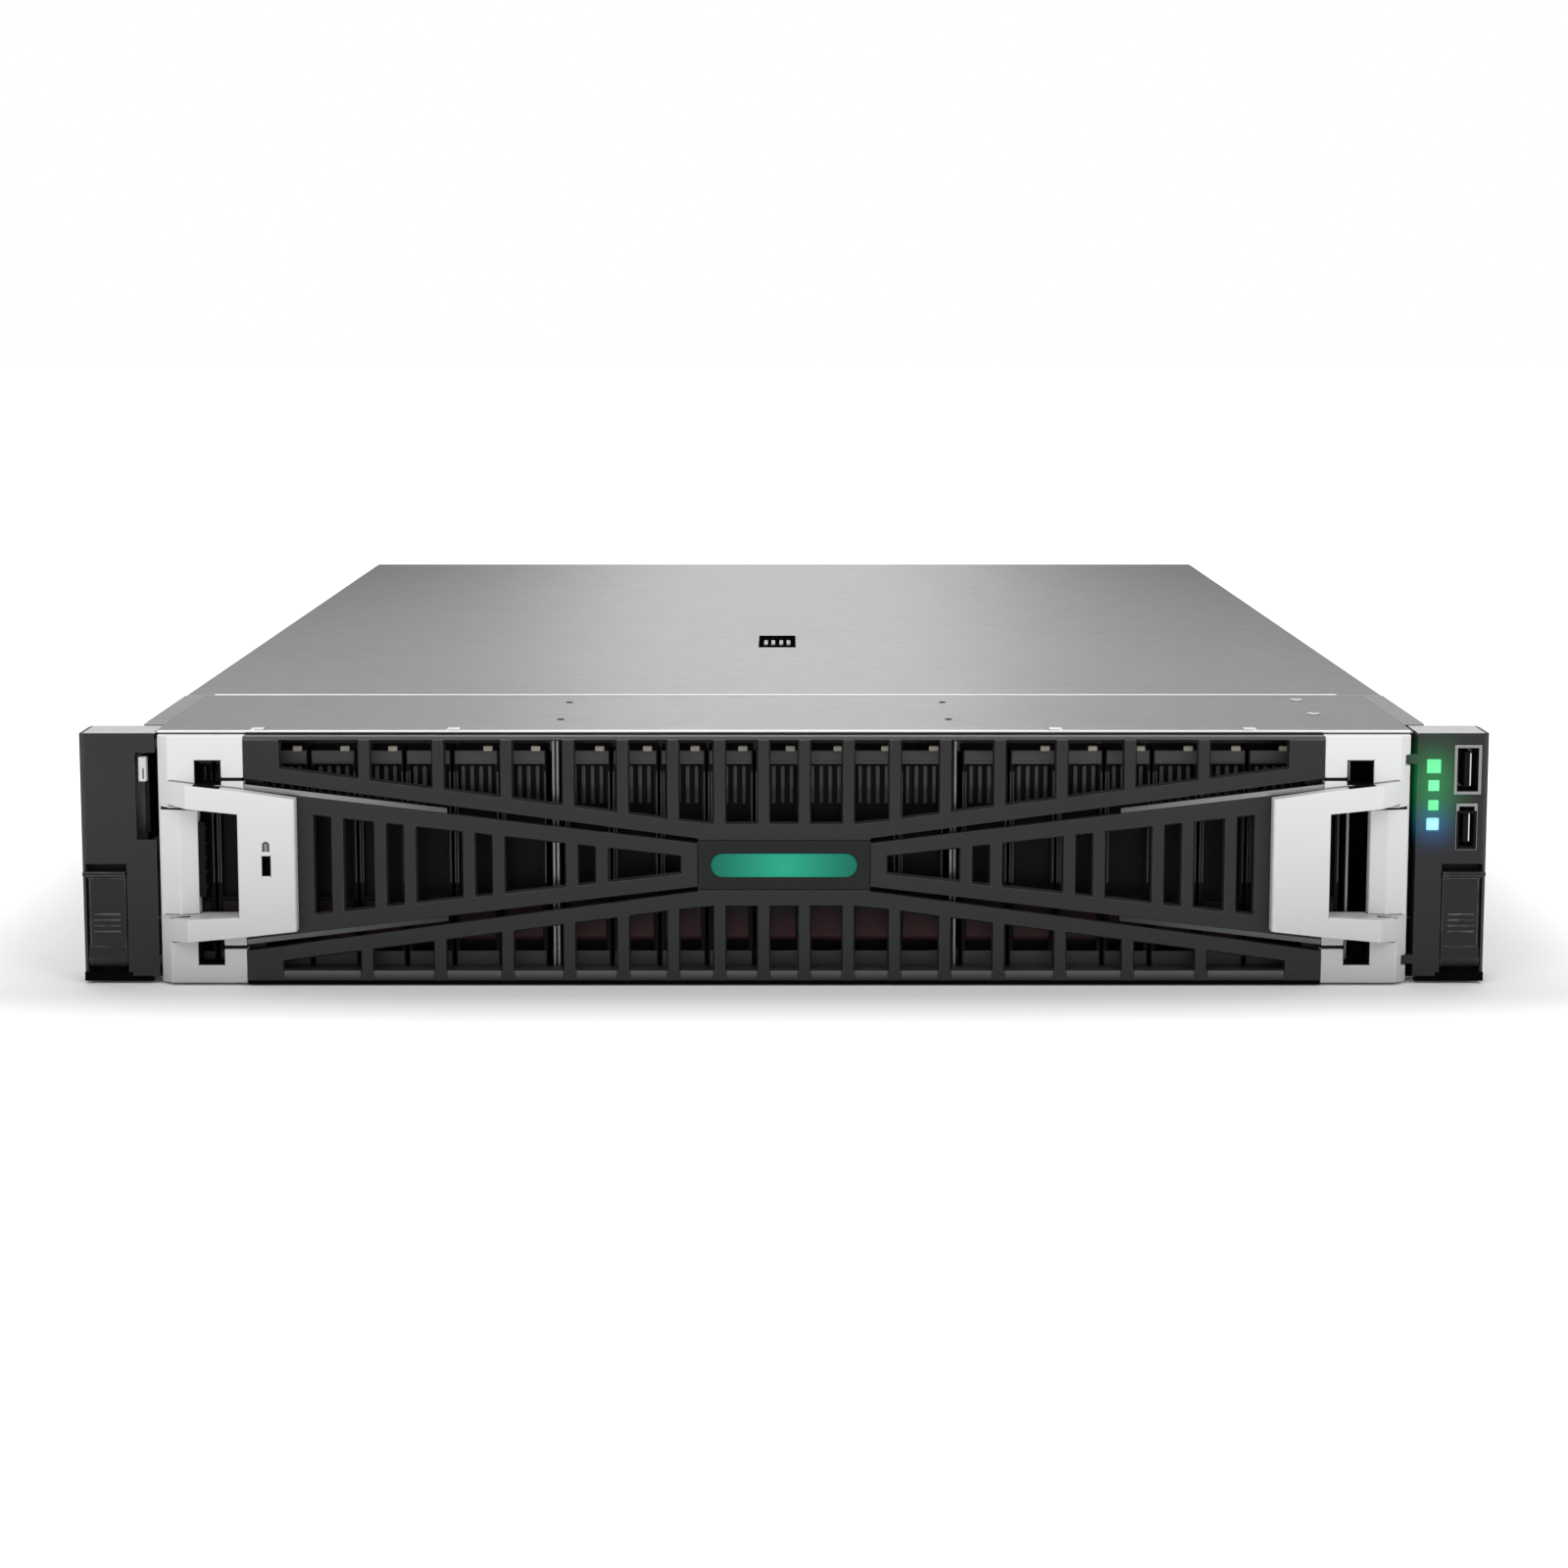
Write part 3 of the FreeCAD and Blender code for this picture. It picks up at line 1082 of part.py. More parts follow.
def fan_rotor(x):
    """One rotor: hub, shaft and pitched blades."""
    y0, y1 = FAN_HUB_SPAN
    middle = V(x, (y0 + y1) / 2, FAN_Z)
    half, chord = FAN_BLADE_THICKNESS / 2, FAN_BLADE_CHORD / 2
    blade = block(-half, half, -chord, chord, *FAN_BLADE_SPAN)
    blade.rotate(V(0, 0, 0), V(0, 0, 1), FAN_BLADE_PITCH)
    blade.translate(middle)
    blades = []
    for i in range(FAN_BLADES):
        turned = blade.copy()
        turned.rotate(middle, V(0, 1, 0), i * 360.0 / FAN_BLADES)
        blades.append(turned)
    hub = fan_bar(FAN_HUB_SIDES, FAN_HUB_RADIUS, x, y0, y1)
    shaft = fan_bar(FAN_SHAFT_SIDES, FAN_SHAFT_RADIUS, x, y1, FAN_BAR_SPAN[1])
    return fuse([hub, shaft] + blades)


def fan_cage():
    """Two sheet cross walls that hold the row of fans, open in front of and behind each one."""
    half, reach = FAN_CAGE_HALF_WIDTH, FAN_DUCT_RADIUS
    front, back = FAN_FRONT - SHEET, FAN_BACK + SHEET
    openings = [block(x - reach, x + reach, front - OVERCUT, back + OVERCUT, FAN_Z - reach, FAN_Z + reach)
                for x in fan_positions()]
    walls = [block(-half, half, y, y + SHEET, SHEET, SHEET + FAN_HEIGHT) for y in (front, FAN_BACK)]
    return [cut(wall, openings) for wall in walls]


def build_fans():
    """The fan cage, the frames as a group and each rotor on its own."""
    save("fan_cage", fan_cage())
    save("fan_frames", [fan_frame(x) for x in fan_positions()])
    for i, x in enumerate(fan_positions()):
        save(f"fan_rotor_{i + 1}", [fan_rotor(x)])


# Main board

def motherboard():
    """The main board, stepped at the back to leave room for the power supplies."""
    side = BOARD_HALF_WIDTH
    outline = [(-side, BOARD_FRONT), (side, BOARD_FRONT), (side, BOARD_BACK), (BOARD_LEFT_BACK, BOARD_BACK),
               (BOARD_LEFT_BACK, BOARD_STEP), (-side, BOARD_STEP)]
    return plan_prism(outline, BOARD_BOTTOM, BOARD_TOP)


def memory_positions():
    """The middle of each memory module: a bank on either side of each processor."""
    offsets = [MEMORY_START + i * MEMORY_PITCH for i in range(MEMORY_PER_BANK)]
    return [x + bank * offset for x in PROCESSOR_PLACES for bank in (-1, 1) for offset in offsets]


def on_board(x, half_width, half_length, z0, z1):
    """A block in the row of the processors, centred on x."""
    return block(x - half_width, x + half_width, PROCESSOR_Y - half_length, PROCESSOR_Y + half_length, z0, z1)


def board_sockets():
    """Processors in their sockets, and the memory sockets."""
    reach = MEMORY_LENGTH / 2 + SOCKET_OVERHANG
    processors = [on_board(x, PROCESSOR_HALF_WIDTH, PROCESSOR_HALF_LENGTH, BOARD_TOP, PROCESSOR_TOP)
                  for x in PROCESSOR_PLACES]
    memory = [on_board(x, SOCKET_HALF_WIDTH, reach, BOARD_TOP, SOCKET_TOP) for x in memory_positions()]
    return processors + memory


def memory_module(x):
    """One memory module, standing in its socket."""
    return on_board(x, MEMORY_THICKNESS / 2, MEMORY_LENGTH / 2, SOCKET_TOP, MEMORY_TOP)


def heatsink(x):
    """One heat sink: a base with upright fins along the air flow."""
    half, reach = HEATSINK_WIDTH / 2, HEATSINK_LENGTH / 2
    body = on_board(x, half, reach, PROCESSOR_TOP, HEATSINK_TOP)
    pitch = (HEATSINK_WIDTH - HEATSINK_FIN) / (HEATSINK_FINS - 1)
    gap = (pitch - HEATSINK_FIN) / 2
    middles = [x - half + HEATSINK_FIN + gap + i * pitch for i in range(HEATSINK_FINS - 1)]
    return body.cut([on_board(middle, gap, reach + OVERCUT, HEATSINK_BASE_TOP, HEATSINK_TOP + OVERCUT)
                     for middle in middles])


def air_baffle():
    """The plastic duct over processors and memory, with a window above each heat sink."""
    half, ceiling = BAFFLE_HALF_WIDTH, BAFFLE_TOP - BAFFLE_SKIN
    top = block(-half, half, BAFFLE_FRONT, BAFFLE_BACK, ceiling, BAFFLE_TOP)
    leg = block(half - BAFFLE_SKIN, half, BAFFLE_FRONT, BAFFLE_BACK, SHEET, ceiling)
    windows = [on_board(x, BAFFLE_WINDOW_HALF_WIDTH, BAFFLE_WINDOW_HALF_LENGTH,
                        ceiling - OVERCUT, BAFFLE_TOP + OVERCUT) for x in PROCESSOR_PLACES]
    return cut(fuse([top, leg, mirrored(leg)]), windows)


def riser_low(count):
    """The lower edge of a riser window with that many slots."""
    return COVER_TOP - count * COVER_PITCH + (COVER_PITCH - COVER_HEIGHT)


def riser_board(centre, count):
    """The upright circuit board of one riser, standing on the main board or on the supply bay."""
    left = centre + RISER_BOARD_X
    foot = BOARD_TOP if count == FULL_COLUMN else BAY_TOP
    return block(left, left + BOARD_THICKNESS, *RISER_BOARD_SPAN, foot, RISER_BOARD_TOP)


def build_boards():
    """The main board with what it carries, and the smaller circuit boards."""
    control = block(RIGHT_EAR_INSIDE + EAR_SKIN, EAR_OUTSIDE - EAR_SKIN,
                    CONTROL_BOARD_Y, CONTROL_BOARD_Y + BOARD_THICKNESS, *CONTROL_BOARD_LEVELS)
    risers = [riser_board(centre, count) for centre, count in RISER_COLUMNS]
    save("motherboard", [motherboard()])
    save("board_sockets", board_sockets())
    save("heatsinks", [heatsink(x) for x in PROCESSOR_PLACES])
    save("memory_modules", [memory_module(x) for x in memory_positions()])
    save("air_baffle", [air_baffle()])
    save("circuit_boards", [control] + [backplane(centre) for centre in CAGE_CENTRES] + risers)


# Rear

def cover_levels(count):
    """The lower edge of each slot cover in a column, from the top down."""
    return [COVER_TOP - COVER_HEIGHT - i * COVER_PITCH for i in range(count)]


def riser_cage(centre, count):
    """A riser's bracket: slotted rear plate, top plate and one side."""
    low, ceiling = riser_low(count), COVER_TOP + RISER_TOP_GAP
    half = COVER_WIDTH / 2 + RISER_MARGIN
    left, right, top = centre - half, centre + half, ceiling + SHEET
    rear = block(left, right, RISER_BACK - SHEET, RISER_BACK, low - SHEET, top)
    roof = block(left, right, RISER_FRONT, RISER_BACK, ceiling, top)
    side = block(left, left + SHEET, RISER_FRONT, RISER_BACK, low, top)
    slots = []
    for z in cover_levels(count):
        slots.append(block(centre - RISER_SLOT_HALF, centre + RISER_SLOT_HALF, RISER_BACK - SHEET - OVERCUT,
                           RISER_BACK + OVERCUT, z + RISER_SLOT_RIM, z + COVER_HEIGHT - RISER_SLOT_RIM))
    return cut(fuse([rear, roof, side]), slots)


def slot_cover(centre, z):
    """One blank slot cover with a row of long vent slots."""
    half, low = COVER_WIDTH / 2, z + VENT_RISE
    plate = block(centre - half, centre + half, RISER_BACK, PANEL_FRONT, z, z + COVER_HEIGHT)
    starts = (centre - VENT_LENGTH - VENT_BRIDGE / 2, centre + VENT_BRIDGE / 2)
    front, back = RISER_BACK - OVERCUT, PANEL_FRONT + OVERCUT
    return plate.cut([block(x, x + VENT_LENGTH, front, back, low, low + VENT_HEIGHT) for x in starts])


def port_box(outline, y0, y1):
    """A rear port's outline between two depths."""
    x0, x1, z0, z1 = outline
    return block(x0, x1, y0, y1, z0, z1)


def rear_ports():
    """Sockets along the back edge of the main board."""
    back = CHASSIS_DEPTH + PORT_PROUD
    collar = front_prism(VIDEO_COLLAR, back, back + VIDEO_COLLAR_REACH)
    video = fuse([port_box(VIDEO_PORT, VIDEO_FRONT, back), collar])
    network = port_box(NETWORK_PORT, NETWORK_FRONT, back)
    network = network.cut(port_box(NETWORK_CAVITY, NETWORK_CAVITY_FRONT, back + OVERCUT))
    usb_pair = port_box(USB_PAIR_PORT, USB_PAIR_FRONT, back)
    low, high = USB_PAIR_TONGUE
    for z in USB_PAIR_LEVELS:
        cavity = block(*USB_PAIR_CAVITY_X, USB_PAIR_CAVITY_FRONT, back + OVERCUT, z, z + USB_PAIR_HEIGHT)
        tongue = block(*USB_PAIR_TONGUE_X, USB_PAIR_CAVITY_FRONT, back - OVERCUT, z + low, z + high)
        usb_pair = usb_pair.cut(cavity.cut(tongue))
    return [video, network, usb_pair]


def network_card():
    """The network card below the right riser: board, edge connector, faceplate, module cages and knob."""
    back = CHASSIS_DEPTH + CARD_FACE_THICKNESS
    low, high = CARD_BOARD_LEVELS
    pieces = [port_box(CARD_FACE, CHASSIS_DEPTH, back)]
    pieces.append(block(*CARD_BOARD_X, CARD_BOARD_FRONT, CHASSIS_DEPTH, low, high))
    pieces.append(block(*CARD_EDGE_X, CARD_BOARD_FRONT, CARD_EDGE_BACK, BOARD_TOP, low))
    pieces.append(rod_y(CARD_KNOB_RADIUS, back, back + CARD_KNOB_LENGTH, *CARD_KNOB))
    holes = []
    cage_low, cage_high = MODULE_CAGE_LEVELS
    for x in MODULE_CAGE_PLACES:
        end = x + MODULE_CAGE_WIDTH
        pieces.append(block(x, end, MODULE_CAGE_FRONT, back + MODULE_CAGE_PROUD, cage_low, cage_high))
        holes.append(block(x + MODULE_CAGE_SKIN, end - MODULE_CAGE_SKIN,
                           MODULE_CAGE_FRONT + MODULE_CAGE_FLOOR, back + MODULE_CAGE_PROUD + OVERCUT,
                           cage_low + MODULE_CAGE_SKIN, cage_high - MODULE_CAGE_SKIN))
    return cut(fuse(pieces), holes)


def supply_bay():
    """Shelf and partitions round the two power supplies."""
    ceiling = BAY_TOP - SHEET
    top = block(*BAY_X, BAY_FRONT, PANEL_FRONT, ceiling, BAY_TOP)
    partitions = [block(x - PARTITION_HALF, x + PARTITION_HALF, BAY_FRONT, PANEL_FRONT, SHEET, ceiling)
                  for x in PARTITION_PLACES]
    return fuse([top] + partitions)


def inlet_box(centre, inset, y0, y1):
    """The mains inlet's outline on one supply, drawn in by an inset, between two depths."""
    x = centre + INLET_X
    half, rise = INLET_HALF[0] - inset, INLET_HALF[1] - inset
    return block(x - half, x + half, y0, y1, INLET_Z - rise, INLET_Z + rise)


def supply_case(centre):
    """The steel case of one supply, with seats for inlet and latch and a field of vent slots."""
    half, back = SUPPLY_WIDTH / 2, CHASSIS_DEPTH + OVERCUT
    latch_x = centre + RELEASE_X
    body = block(centre - half, centre + half, SUPPLY_FRONT, CHASSIS_DEPTH, SHEET, SHEET + SUPPLY_HEIGHT)
    tools = [inlet_box(centre, 0, CHASSIS_DEPTH - INLET_DEPTH - INLET_FLOOR, back)]
    tools.append(block(latch_x + RELEASE_SEAT_X[0], latch_x + RELEASE_SEAT_X[1],
                       CHASSIS_DEPTH - RELEASE_SEAT_DEPTH, back, *RELEASE_SEAT_LEVELS))
    for z in SUPPLY_VENT_LEVELS:
        tools.append(block(centre + SUPPLY_VENT_X[0], centre + SUPPLY_VENT_X[1],
                           CHASSIS_DEPTH - SUPPLY_VENT_DEPTH, back, z, z + SUPPLY_VENT_HEIGHT))
    return cut(body, tools)


def loop_outline(start, end, low, high, corner):
    """A (y, z) outline that starts square at the supply and has sloped corners at its far end."""
    return [(start, low), (end - corner, low), (end, low + corner), (end, high - corner),
            (end - corner, high), (start, high)]


def supply_handle(centre):
    """The finger loop on the back of one supply."""
    y0, y1 = CHASSIS_DEPTH, CHASSIS_DEPTH + LOOP_REACH
    low, high = LOOP_LEVELS
    left, right = centre + LOOP_X - LOOP_HALF_WIDTH, centre + LOOP_X + LOOP_HALF_WIDTH
    loop = side_prism(loop_outline(y0, y1, low, high, LOOP_CORNER), left, right)
    gap = loop_outline(y0 - OVERCUT, y1 - LOOP_BAR, low + LOOP_BAR, high - LOOP_BAR, LOOP_GAP_CORNER)
    foot = block(left, right, y0, y0 + LOOP_FOOT, low, high)
    return fuse([loop.cut(side_prism(gap, left - OVERCUT, right + OVERCUT)), foot])


def supply_inlet(centre):
    """The mains inlet of one supply with its three contact blades."""
    floor = CHASSIS_DEPTH - INLET_DEPTH
    shell = inlet_box(centre, 0, floor - INLET_FLOOR, CHASSIS_DEPTH + INLET_PROUD)
    shell = shell.cut(inlet_box(centre, INLET_RIM, floor, CHASSIS_DEPTH + INLET_PROUD + OVERCUT))
    half, rise = INLET_PIN_HALF
    pins = []
    for dx, dz in INLET_PINS:
        x, z = centre + INLET_X + dx, INLET_Z + dz
        pins.append(block(x - half, x + half, floor, CHASSIS_DEPTH - INLET_PIN_SETBACK, z - rise, z + rise))
    return fuse([shell] + pins)


def supply_latch(centre):
    """The release tab beside the finger loop."""
    x = centre + RELEASE_X
    return plan_prism([(x + dx, CHASSIS_DEPTH + dy) for dx, dy in RELEASE_OUTLINE], *RELEASE_LEVELS)


def build_rear():
    """Risers, ports, network card and power supplies."""
    covers = [slot_cover(centre, z) for centre, count in RISER_COLUMNS for z in cover_levels(count)]
    save("riser_cages", [riser_cage(centre, count) for centre, count in RISER_COLUMNS])
    save("slot_covers", covers)
    save("rear_ports", rear_ports())
    save("network_card", [network_card()])
    save("supply_bay", [supply_bay()])
    for i, centre in enumerate(SUPPLY_CENTRES):
        save(f"supply_{i + 1}_case", [supply_case(centre)])
        save(f"supply_{i + 1}_handle", [supply_handle(centre)])
        save(f"supply_{i + 1}_inlet", [supply_inlet(centre)])
        save(f"supply_{i + 1}_latch", [supply_latch(centre)])


os.makedirs("parts", exist_ok=True)
build_bezel()
build_ears()
build_drives()
build_chassis()
build_hood()
build_fans()
build_boards()
build_rear()
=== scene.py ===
"""The looks of a two-unit rack server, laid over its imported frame.

Places are in millimetres as (x, v, z): x to the right as seen from the front, v behind the front face of
the rack ears, and z above the underside. The frame's own axes are the same, in metres, with y shifted.
"""
import json
import logging
import math
from collections.abc import Iterator, Sequence
from contextlib import contextmanager
from dataclasses import dataclass
from enum import Enum

import bmesh
import bpy
from mathutils import Matrix, Vector

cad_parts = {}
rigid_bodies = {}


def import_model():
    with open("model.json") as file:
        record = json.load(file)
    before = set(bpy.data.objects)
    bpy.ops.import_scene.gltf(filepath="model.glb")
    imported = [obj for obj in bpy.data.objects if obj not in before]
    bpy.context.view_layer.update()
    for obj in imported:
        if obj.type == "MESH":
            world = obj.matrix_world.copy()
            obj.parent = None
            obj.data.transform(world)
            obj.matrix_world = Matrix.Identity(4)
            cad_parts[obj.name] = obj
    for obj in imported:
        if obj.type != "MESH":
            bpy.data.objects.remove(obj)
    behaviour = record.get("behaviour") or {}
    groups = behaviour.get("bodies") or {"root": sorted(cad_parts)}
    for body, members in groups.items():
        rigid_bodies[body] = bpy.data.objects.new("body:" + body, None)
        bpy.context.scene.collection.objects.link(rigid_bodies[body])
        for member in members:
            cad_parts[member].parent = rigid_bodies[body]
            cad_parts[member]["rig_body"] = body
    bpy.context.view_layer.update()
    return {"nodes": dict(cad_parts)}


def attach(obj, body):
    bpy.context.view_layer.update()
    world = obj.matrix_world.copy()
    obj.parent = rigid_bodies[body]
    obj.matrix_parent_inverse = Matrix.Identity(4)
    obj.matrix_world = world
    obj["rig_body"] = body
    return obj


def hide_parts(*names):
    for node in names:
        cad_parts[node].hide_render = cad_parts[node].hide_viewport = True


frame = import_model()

log = logging.getLogger("rack_server")

# A tone is a grey level, or red, green and blue.
Tone = float | tuple[float, float, float]
Place = tuple[float, float, float]
Span = tuple[float, float]
Piece = bpy.types.Object
Node = bpy.types.Node
NodeTree = bpy.types.NodeTree
Socket = bpy.types.NodeSocket

MM = 0.001
DEPTH_SHIFT = -367.5
SMOOTH_ANGLE = math.radians(50.0)
SHARP_ANGLE = math.radians(28.0)
FLAT_ANGLE = math.radians(0.5)
QUAD_ANGLE = math.radians(60.0)
MERGE_REACH = 0.002
FACING = 0.9
FINE_STEPS = 2
HEAD_EDGE = 0.25
HEAD_RIM = 0.45
EDGE_STRIP = "edge_strip"
CREASE_STRIP = "crease_strip"
STRIP_SHARE = 1.5


class Facing(Enum):
    """The way that a face or a fastener's head looks."""

    FRONT = (0.0, -1.0, 0.0)
    BACK = (0.0, 1.0, 0.0)
    LEFT = (-1.0, 0.0, 0.0)
    RIGHT = (1.0, 0.0, 0.0)
    UP = (0.0, 0.0, 1.0)

    @property
    def way(self) -> Vector:
        """The way as a unit vector."""
        return Vector(self.value)

    @property
    def turn(self) -> Place:
        """The turn that lays an upright cylinder along the way."""
        return (abs(self.value[1]) * math.pi / 2, abs(self.value[0]) * math.pi / 2, 0.0)


class Pick(Enum):
    """What a selection in edit mode picks."""

    FACES = "FACE"
    EDGES = "EDGE"


class Axis(Enum):
    """An axis of a piece's own coordinates."""

    X = "X"
    Y = "Y"
    Z = "Z"


SIDES = ((-1, Facing.LEFT), (1, Facing.RIGHT))


# Modelling tools


def place(x: float, v: float, z: float) -> Vector:
    """Turn a place in millimetres into the frame's metres."""
    return Vector((x, v + DEPTH_SHIFT, z)) * MM


def metres(span: Span) -> Span:
    """Turn a span in millimetres into metres."""
    return (span[0] * MM, span[1] * MM)


def clear_selection() -> None:
    """Leave edit mode and let go of every object."""
    if bpy.context.mode != "OBJECT":
        bpy.ops.object.mode_set(mode="OBJECT")
    bpy.ops.object.select_all(action="DESELECT")


def take(*pieces: Piece) -> None:
    """Select some pieces alone and make the first one active.

    Args:
        pieces: The pieces to select.
    """
    clear_selection()
    for piece in pieces:
        piece.select_set(True)
    bpy.context.view_layer.objects.active = pieces[0]


@contextmanager
def editing(piece: Piece, pick: Pick = Pick.FACES) -> Iterator[None]:
    """Open one piece in edit mode with nothing selected in it.

    Args:
        piece: The mesh object to open.
        pick: What a selection picks.

    Yields:
        Nothing, while the piece is open.
    """
    take(piece)
    bpy.ops.object.mode_set(mode="EDIT")
    bpy.ops.mesh.select_mode(type=pick.value)
    bpy.ops.mesh.select_all(action="DESELECT")
    yield
    bpy.ops.object.mode_set(mode="OBJECT")


def pick_faces(piece: Piece, *facings: Facing) -> None:
    """Select the faces that look some way.

    Args:
        piece: The piece open in edit mode.
        facings: The ways that count.
    """
    shape = bmesh.from_edit_mesh(piece.data)
    for face in shape.faces:
        face.select_set(any(face.normal.dot(facing.way) > FACING for facing in facings))
    bmesh.update_edit_mesh(piece.data)


def apply_place() -> Piece:
    """Move the new primitive's place into its mesh and give the object."""
    bpy.ops.object.transform_apply(location=True, rotation=True, scale=True)
    return bpy.context.active_object


def round_edges(piece: Piece, width: float, segments: int = 1) -> Piece:
    """Round every sharp edge and mark the narrow faces that this makes, with those in hollows apart for
    painted shade.

    Args:
        piece: The piece to round.
        width: Width of the rounding in millimetres.
        segments: Steps across the rounding.

    Returns:
        The same piece.
    """
    with editing(piece, Pick.EDGES):
        bpy.ops.mesh.edges_select_sharp(sharpness=SHARP_ANGLE)
        bpy.ops.mesh.bevel(offset=width * MM, segments=segments, affect="EDGES", clamp_overlap=False)
        shape = bmesh.from_edit_mesh(piece.data)
        layers = shape.faces.layers.float
        for name in (EDGE_STRIP, CREASE_STRIP):
            if layers.get(name) is None:
                layers.new(name)
        strip, crease_shade = layers[EDGE_STRIP], layers[CREASE_STRIP]
        for face in shape.faces:
            longest = max(face.edges, key=lambda edge: edge.calc_length())
            if face.select and face.calc_area() < STRIP_SHARE * width * MM * longest.calc_length():
                face[strip] = 1.0
                face[crease_shade] = float(longest.calc_face_angle_signed(0.0) < 0.0)
        bmesh.update_edit_mesh(piece.data)
    return piece


def even_normals(piece: Piece) -> None:
    """Shade a piece smooth across its roundings and keep its broad faces flat.

    Args:
        piece: The finished shape.
    """
    take(piece)
    bpy.ops.object.shade_smooth_by_angle(angle=SMOOTH_ANGLE)
    modifier = piece.modifiers.new("even_normals", "WEIGHTED_NORMAL")
    modifier.keep_sharp = True
    bpy.ops.object.modifier_apply(modifier=modifier.name)


def push(piece: Piece, facing: Facing, margin: float, depth: float) -> Piece:
    """Inset the faces that look one way and sink what is left of them.

    Args:
        piece: The piece to shape.
        facing: The way that the faces look.
        margin: Width of the rim that stays, in millimetres.
        depth: How far the faces sink, in millimetres; below zero they rise.

    Returns:
        The same piece.
    """
    with editing(piece):
        pick_faces(piece, facing)
        bpy.ops.mesh.inset(thickness=margin * MM)
        bpy.ops.mesh.extrude_region()
        bpy.ops.transform.translate(value=-depth * MM * facing.way)
    return piece


@dataclass(frozen=True)
class Box:
    """A reach across, from front to back and upwards, in millimetres, that a piece is made in."""

    x: Span
    v: Span
    z: Span

    def moved(self, x: float = 0.0, v: float = 0.0) -> "Box":
        """The same box further to the right or to the back."""
        return Box((self.x[0] + x, self.x[1] + x), (self.v[0] + v, self.v[1] + v), self.z)

    def on(self, side: int) -> "Box":
        """The box as it lies with one, or on the other side of the middle with minus one."""
        return Box(tuple(sorted(side * x for x in self.x)), self.v, self.z)

    def start(self) -> Piece:
        """Start a piece from a cube, with its place in its mesh.

        Returns:
            The new object, at the origin.
        """
        clear_selection()
        low, high = (place(*corner) for corner in zip(self.x, self.v, self.z))
        bpy.ops.mesh.primitive_cube_add(size=1.0, location=(low + high) / 2, scale=high - low)
        return apply_place()

    def block(self, edge: float) -> Piece:
        """Make a block whose edges are rounded to that width in millimetres."""
        return round_edges(self.start(), edge)

    def fine(self, edge: float) -> Piece:
        """Make a block whose edges are rounded to that width in finer steps."""
        return round_edges(self.start(), edge, FINE_STEPS)

    def slanted(self, end: Facing, move: Place, edge: float) -> Piece:
        """Make a block with one of its ends shifted.

        Args:
            end: The way that the shifted end looks.
            move: The shift in millimetres.
            edge: Width of the rounding in millimetres.

        Returns:
            The new piece.
        """
        piece = self.start()
        with editing(piece):
            pick_faces(piece, end)
            bpy.ops.transform.translate(value=Vector(move) * MM)
        return round_edges(piece, edge)

    def sleeve(self, wall: float) -> Piece:
        """Make a square sleeve, open at its front and back.

        Args:
            wall: Thickness of its walls in millimetres.

        Returns:
            The new piece.
        """
        piece = self.start()
        with editing(piece):
            pick_faces(piece, Facing.FRONT, Facing.BACK)
            bpy.ops.mesh.inset(thickness=wall * MM)
            bpy.ops.mesh.bridge_edge_loops()
            bpy.ops.mesh.select_all(action="SELECT")
            bpy.ops.mesh.normals_make_consistent(inside=False)
        return piece


@dataclass(frozen=True)
class Head:
    """A fastener's round head, in millimetres.

    Its drive says how deep its middle is sunk, as a share of its height; below zero for a dome.
    """

    radius: float
    height: float
    drive: float = 0.5
    sides: int = 20

    def put(self, foot: Place, facing: Facing) -> Piece:
        """Make the head.

        Args:
            foot: Middle of its underside in millimetres.
            facing: The way that it looks.

        Returns:
            The new piece.
        """
        clear_selection()
        middle = Vector(foot) + facing.way * self.height / 2
        bpy.ops.mesh.primitive_cylinder_add(
            vertices=self.sides, radius=self.radius * MM, depth=self.height * MM, location=place(*middle),
            rotation=facing.turn)
        piece = round_edges(apply_place(), HEAD_EDGE * self.height)
        return push(piece, facing, HEAD_RIM * self.radius, self.drive * self.height)


def copies(piece: Piece, shifts: Sequence[Place]) -> list[Piece]:
    """Copy a finished shape to more places, each copy with its own mesh.

    Args:
        piece: The shape to copy.
        shifts: Moves in millimetres from the first one.

    Returns:
        The shape and its copies.
    """
    made = [piece]
    for shift in shifts:
        twin = piece.copy()
        twin.data = piece.data.copy()
        twin.data.transform(Matrix.Translation(Vector(shift) * MM))
        bpy.context.scene.collection.objects.link(twin)
        made.append(twin)
    return made


def row(piece: Piece, count: int, step: Place) -> list[Piece]:
    """Give a finished shape and its copies, so many in all, each one step in millimetres further on."""
    return copies(piece, [tuple(i * part for part in step) for i in range(1, count)])


def joined(pieces: Sequence[Piece]) -> Piece:
    """Join several meshes into the first of them.

    Args:
        pieces: The meshes to join.

    Returns:
        The joined piece.
    """
    take(*pieces)
    if len(pieces) > 1:
        bpy.ops.object.join()
    return pieces[0]


def hand_over(name: str, pieces: Sequence[Piece], finish: "Finish",
              body: str = "chassis") -> Piece:
    """Join a piece's meshes and give it its name, its finish and the body that it moves with.

    Args:
        name: The piece's name.
        pieces: The finished shapes that it is made of.
        finish: What its surface is.
        body: The body that carries it.

    Returns:
        The finished piece.
    """
    piece = joined(pieces)
    piece.name = name
    even_normals(piece)
    piece.data.materials.clear()
    piece.data.materials.append(finish.material())
    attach(piece, body)
    log.info("%s on %s", name, body)
    return piece


# Shader tools


